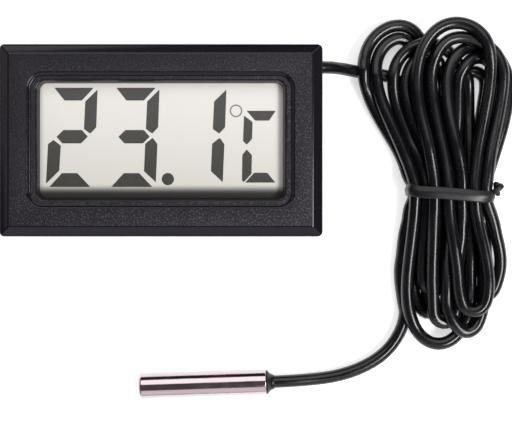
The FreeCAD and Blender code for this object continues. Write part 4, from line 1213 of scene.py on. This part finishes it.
@dataclass
class TwistTie:
    """The flat tie round the hank, with a wire along its middle and its ends twisted together."""

    paints: Paintbox
    beads: np.ndarray
    middle: tuple[float, float] = (44.4, -7.8)
    turn: float = math.radians(-5.5)
    width: float = 1.9
    thick: float = 0.5
    ridge: float = 0.16
    steps: int = 120
    sides: int = 24
    strand: float = 0.55
    strand_sides: int = 16
    twist_step: float = 0.34
    twist_length: float = 2.1
    twist_turn: float = 1.1 * math.pi

    def band_profile(self, turn: np.ndarray) -> np.ndarray:
        """Gives the band's section: a flat oval with a low ridge over the wire.

        Across is width / 2 * |cos|^0.6 and out is thick / 2 * |sin|^0.7, each with its sign, so that the edges
        are full and round. The outer side is higher by ridge * exp(-(across / 0.32)^2).

        Args:
            turn: Angles round the section.

        Returns:
            Across and outwards for each angle, in millimetres.
        """
        across = self.width / 2 * np.sign(np.cos(turn)) * np.abs(np.cos(turn)) ** 0.6
        out = self.thick / 2 * np.sign(np.sin(turn)) * np.abs(np.sin(turn)) ** 0.7
        out = out + np.where(np.sin(turn) > 0, self.ridge * np.exp(-(across / 0.32) ** 2), 0)
        return np.column_stack([across, out])

    def build(self) -> list[bpy.types.Object]:
        """Makes the band and the two twisted ends.

        Round the hank the band's middle follows a squared oval: half * |cos t|^0.62 across and
        (top - foot) / 2 * |sin t|^0.5 up, each with its sign. The section is carried along it and turned
        outwards, and sways a little to and fro.

        Returns:
            The band and its ends.
        """
        held = self.beads[np.abs(self.beads[:, 1] - self.middle[1]) < 1.0]
        low, high = held.min(axis=0), held.max(axis=0)
        half = (high[0] - low[0]) / 2 + 1.0 + self.thick / 2
        centre = (high[0] + low[0]) / 2
        foot, top = self.thick / 2 + 0.02, high[2] + 1.0 + self.thick / 2
        t = np.linspace(0, 2 * math.pi, self.steps, endpoint=False)
        x = half * np.sign(np.cos(t)) * np.abs(np.cos(t)) ** 0.62
        z = (foot + top) / 2 + (top - foot) / 2 * np.sign(np.sin(t)) * np.abs(np.sin(t)) ** 0.5
        path = np.column_stack([x, z])
        ahead = np.roll(path, -1, axis=0) - np.roll(path, 1, axis=0)
        ahead /= np.linalg.norm(ahead, axis=1, keepdims=True)
        outward = np.column_stack([ahead[:, 1], -ahead[:, 0]])
        profile = self.band_profile(np.linspace(0, 2 * math.pi, self.sides, endpoint=False))
        sway = 0.12 * np.sin(2 * t + 0.6) + 0.06 * np.sin(5 * t)
        spot = path[:, None] + outward[:, None] * profile[None, :, 1:]
        along = profile[None, :, 0] + sway[:, None]
        flat_x = spot[:, :, 0]
        world = np.stack(
            [
                centre + flat_x * math.cos(self.turn) - along * math.sin(self.turn),
                self.middle[1] + flat_x * math.sin(self.turn) + along * math.cos(self.turn),
                # The ridge is pressed flat where the band lies on the surface.
                np.maximum(spot[:, :, 1], 0.005),
            ],
            axis=2,
        )
        faces = grid_faces(self.steps, self.sides, close_rows=True)
        band = add_piece("tie_band", world, faces, Body.CASE)
        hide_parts("cord_tie")
        knot = np.array([centre + half + 0.2, self.middle[1] - 0.2, top - 1.6])
        ends = [self.twisted_end(f"tie_end_{k + 1}", knot, k * math.pi) for k in range(2)]
        for piece in (band, *ends):
            self.paints.paint(piece, TIE_PLASTIC)
        return [band, *ends]

    def twisted_end(self, name: str, root: np.ndarray, phase: float) -> bpy.types.Object:
        """Makes one end: a round strand that winds round the other end and closes in a rounded tip.

        The centre goes along the twist's direction, with a side step that turns with the way along. For a
        share s of the way, the radius is strand * (1 - |2s - 1|^6)^0.5, so both ends are round.

        Args:
            name: The piece's name.
            root: Where the twist starts.
            phase: How far round the axis this end starts.

        Returns:
            The new object.
        """
        axis = np.array([0.36, 0.92, 0.1])
        axis /= np.linalg.norm(axis)
        u = np.cross(axis, (0.0, 0.0, 1.0))
        u /= np.linalg.norm(u)
        v = np.cross(axis, u)
        s = np.linspace(0.004, 0.996, 44)
        angle = phase + s * self.twist_turn
        side_step = np.cos(angle)[:, None] * u + np.sin(angle)[:, None] * v
        spine = root + s[:, None] * self.twist_length * axis + self.twist_step * side_step
        radius = self.strand * np.sqrt(1 - np.abs(2 * s - 1) ** 6)
        sides = self.strand_sides
        turn = np.linspace(0, 2 * math.pi, sides, endpoint=False)
        spoke = np.cos(turn)[:, None] * u + np.sin(turn)[:, None] * v
        points = spine[:, None] + radius[:, None, None] * spoke[None]
        n = len(s) * sides
        faces = [*grid_faces(len(s), sides).tolist(), list(range(sides)), list(range(n - sides, n))]
        return add_piece(name, points, faces, Body.CASE)


@dataclass
class Probe:
    """The steel probe: a polished tube with a rounded closed end, and the resin collar in its mouth."""

    paints: Paintbox
    tip: Point = (-4.3, -38.06, 2.0)
    turn: float = PROBE_TURN
    radius: float = 2.0
    length: float = 20.0
    end_round: float = 0.55
    wall: float = 0.25
    bore_shown: float = 3.0
    nose: float = 1.3
    cord_fit: float = 1.12

    def build(self) -> list[bpy.types.Object]:
        """Makes the tube and the collar.

        Returns:
            The two pieces.
        """
        axis = np.array([math.cos(self.turn), math.sin(self.turn), 0.0])
        start = np.array(self.tip)
        sleeve = lathe("probe_tube", self.sleeve_profile(), start, axis, Body.CASE, sides=96)
        mark_sharp(sleeve, 40)
        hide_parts("probe_sleeve")
        self.paints.paint(sleeve, PROBE_STEEL)
        collar = lathe("probe_collar", self.collar_profile(), start, axis, Body.CASE)
        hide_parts("probe_seal")
        self.paints.paint(collar, RESIN)
        return [sleeve, collar]

    def sleeve_profile(self) -> np.ndarray:
        """Gives the tube's section: a flat end, a quarter circle, the wall, a half circle, and the bore.

        Returns:
            Distance along the axis and radius, in millimetres.
        """
        end, half_wall = self.end_round, self.wall / 2
        crown = np.column_stack([np.zeros(6), np.linspace(0, self.radius - end, 6)])
        quarter = np.linspace(0, math.pi / 2, 12)
        along, in_from_side = end * (1 - np.sin(quarter)[::-1]), end * (1 - np.cos(quarter)[::-1])
        closed = np.column_stack([along, self.radius - in_from_side])
        half = np.linspace(0, math.pi, 9)
        mouth_along = self.length - half_wall + half_wall * np.sin(half)
        mouth = np.column_stack([mouth_along, self.radius - half_wall + half_wall * np.cos(half)])
        bore_end = self.length - self.bore_shown
        bore = np.array([[bore_end, self.radius - self.wall], [bore_end, 0.0]])
        return np.vstack([crown, closed[1:], mouth, bore])

    def collar_profile(self) -> np.ndarray:
        """Gives the collar's section: a plug in the bore, a lip on the mouth, and a hollow taper to the cord.

        For a share t of the taper, its radius is cord_fit + 0.76 * (1 - t)^2.

        Returns:
            Distance along the axis and radius, in millimetres.
        """
        mouth, plug = self.length, self.radius - self.wall - 0.04
        t = np.linspace(0, 1, 14)
        swell = np.array([[mouth - 2.4, 0.0], [mouth - 2.4, plug], [mouth, plug]])
        lip = [[mouth + 0.02, 1.80], [mouth + 0.08, 1.88], [mouth + 0.2, 1.9]]
        taper = np.column_stack([mouth + 0.25 + t * (self.nose - 0.25), self.cord_fit + 0.76 * (1 - t) ** 2.0])
        end = np.array([[mouth + self.nose, 1.08], [mouth + self.nose - 0.02, 0.0]])
        return np.vstack([swell, lip, taper, end])


# The inner parts ------------------------------------------------------------------------------------

INNER_FINISHES: dict[str, Finish] = {
    "lcd_front_polariser": FILM, "lcd_front_glass": GLASS, "lcd_rear_glass": GLASS, "lcd_reflector": FILM,
    "rubber_strip_upper": STRIPED_RUBBER, "rubber_strip_lower": STRIPED_RUBBER,
    "circuit_board": LAMINATE, "board_screws": SCREW_STEEL, "chip_resin_cap": RESIN,
    "board_resistors": CHIP_CERAMIC, "board_capacitors": CAPACITOR_CERAMIC,
    "cell_left_can": CELL_STEEL, "cell_left_cap": CELL_STEEL, "cell_left_gasket": NYLON,
    "cell_right_can": CELL_STEEL, "cell_right_cap": CELL_STEEL, "cell_right_gasket": NYLON,
    "contact_negative": SPRING_BRASS, "contact_positive": SPRING_BRASS, "contact_bridge": SPRING_BRASS,
    "sensor_wire_upper": WIRE_SHEATH, "sensor_wire_lower": WIRE_SHEATH,
    "solder_joints": SOLDER, "cord_glue_bead": GLUE,
    "thermistor_bead": THERMISTOR_COAT, "thermistor_legs": SOLDER,
}


# The studio -----------------------------------------------------------------------------------------


@dataclass(frozen=True)
class Softbox:
    """One soft light: its place and aim in metres, its size and its power."""

    name: str
    place: Point
    size: tuple[float, float]
    power: float
    aim: Point = (0.014, -0.011, 0.005)


@dataclass
class Studio:
    """The floor, the lights and the camera straight above."""

    eye: Point = (0.0141, -0.01078, 0.2152)
    lens: float = 95.25
    boxes: tuple[Softbox, ...] = (
        Softbox("side light", (0.3, -0.15, 0.44), (0.36, 0.11), 2.8),
        Softbox("far light", (0.014, 0.30, 0.39), (0.6, 0.39), 1.25),
        Softbox("near light", (0.014, -0.45, 0.235), (0.6, 0.42), 0.72),
        Softbox("left fill", (-0.45, 0.0, 0.12), (0.6, 0.22), 0.25),
    )
    sky: tuple[float, float, float] = (0.1, 0.08, 0.09)

    def camera(self) -> None:
        """Places the camera straight above, looking down."""
        data = bpy.data.cameras.new("camera")
        data.lens = self.lens
        data.sensor_width = 36.0
        camera = bpy.data.objects.new("camera", data)
        camera.location = self.eye
        bpy.context.scene.collection.objects.link(camera)
        bpy.context.scene.camera = camera
        log.info("camera at %s", self.eye)

    def light(self, box: Softbox) -> None:
        """Adds one soft light, turned towards its aim.

        Args:
            box: The light's place, size and power.
        """
        data = bpy.data.lights.new(box.name, "AREA")
        data.shape = "RECTANGLE"
        data.size, data.size_y = box.size
        data.energy = box.power
        lamp = bpy.data.objects.new(box.name, data)
        lamp.location = box.place
        way = np.array(box.aim) - np.array(box.place)
        lamp.rotation_mode = "QUATERNION"
        lamp.rotation_quaternion = Vector(way).to_track_quat("-Z", "Y")
        bpy.context.scene.collection.objects.link(lamp)
        log.info("%s", box.name)

    def build(self) -> None:
        """Adds the floor, the sky and the lights."""
        mesh = bpy.data.meshes.new("floor")
        edge, level = 3.0, -0.00003
        corners = [(-edge, -edge, level), (edge, -edge, level), (edge, edge, level), (-edge, edge, level)]
        mesh.from_pydata(corners, [], [(0, 1, 2, 3)])
        floor = bpy.data.objects.new("floor", mesh)
        bpy.context.scene.collection.objects.link(floor)
        paper = bpy.data.materials.new("pale floor")
        paper.use_nodes = True
        shader = paper.node_tree.nodes["Principled BSDF"]
        shader.inputs["Base Color"].default_value = (0.9, 0.9, 0.9, 1.0)
        shader.inputs["Roughness"].default_value = 0.9
        shader.inputs["Specular IOR Level"].default_value = 0.0
        shader.inputs["Emission Color"].default_value = (1.0, 1.0, 1.0, 1.0)
        shader.inputs["Emission Strength"].default_value = 0.55
        mesh.materials.append(paper)
        world = bpy.data.worlds.new("studio")
        world.use_nodes = True
        sky = world.node_tree.nodes["Background"]
        sky.inputs["Color"].default_value = rgba(self.sky)
        bpy.context.scene.world = world
        bpy.context.scene.view_settings.view_transform = "Standard"
        for box in self.boxes:
            self.light(box)


def main() -> None:
    """Builds the camera, the cord with its tie and probe, the case, the display and the studio."""
    studio = Studio()
    studio.camera()
    paints = Paintbox()
    cord = Cord(paints)
    line = cord.build()
    tie = TwistTie(paints, cord.beads).build()
    probe = Probe(paints).build()
    tuple(MM * c for c in cord.exit)
    Mouldings(paints).build()
    Display(paints).build()
    for node, finish in INNER_FINISHES.items():
        paints.paint(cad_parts[node], finish)
        log.info("%s: %s", node, finish.name)
    studio.build()


if __name__ == "__main__":
    main()
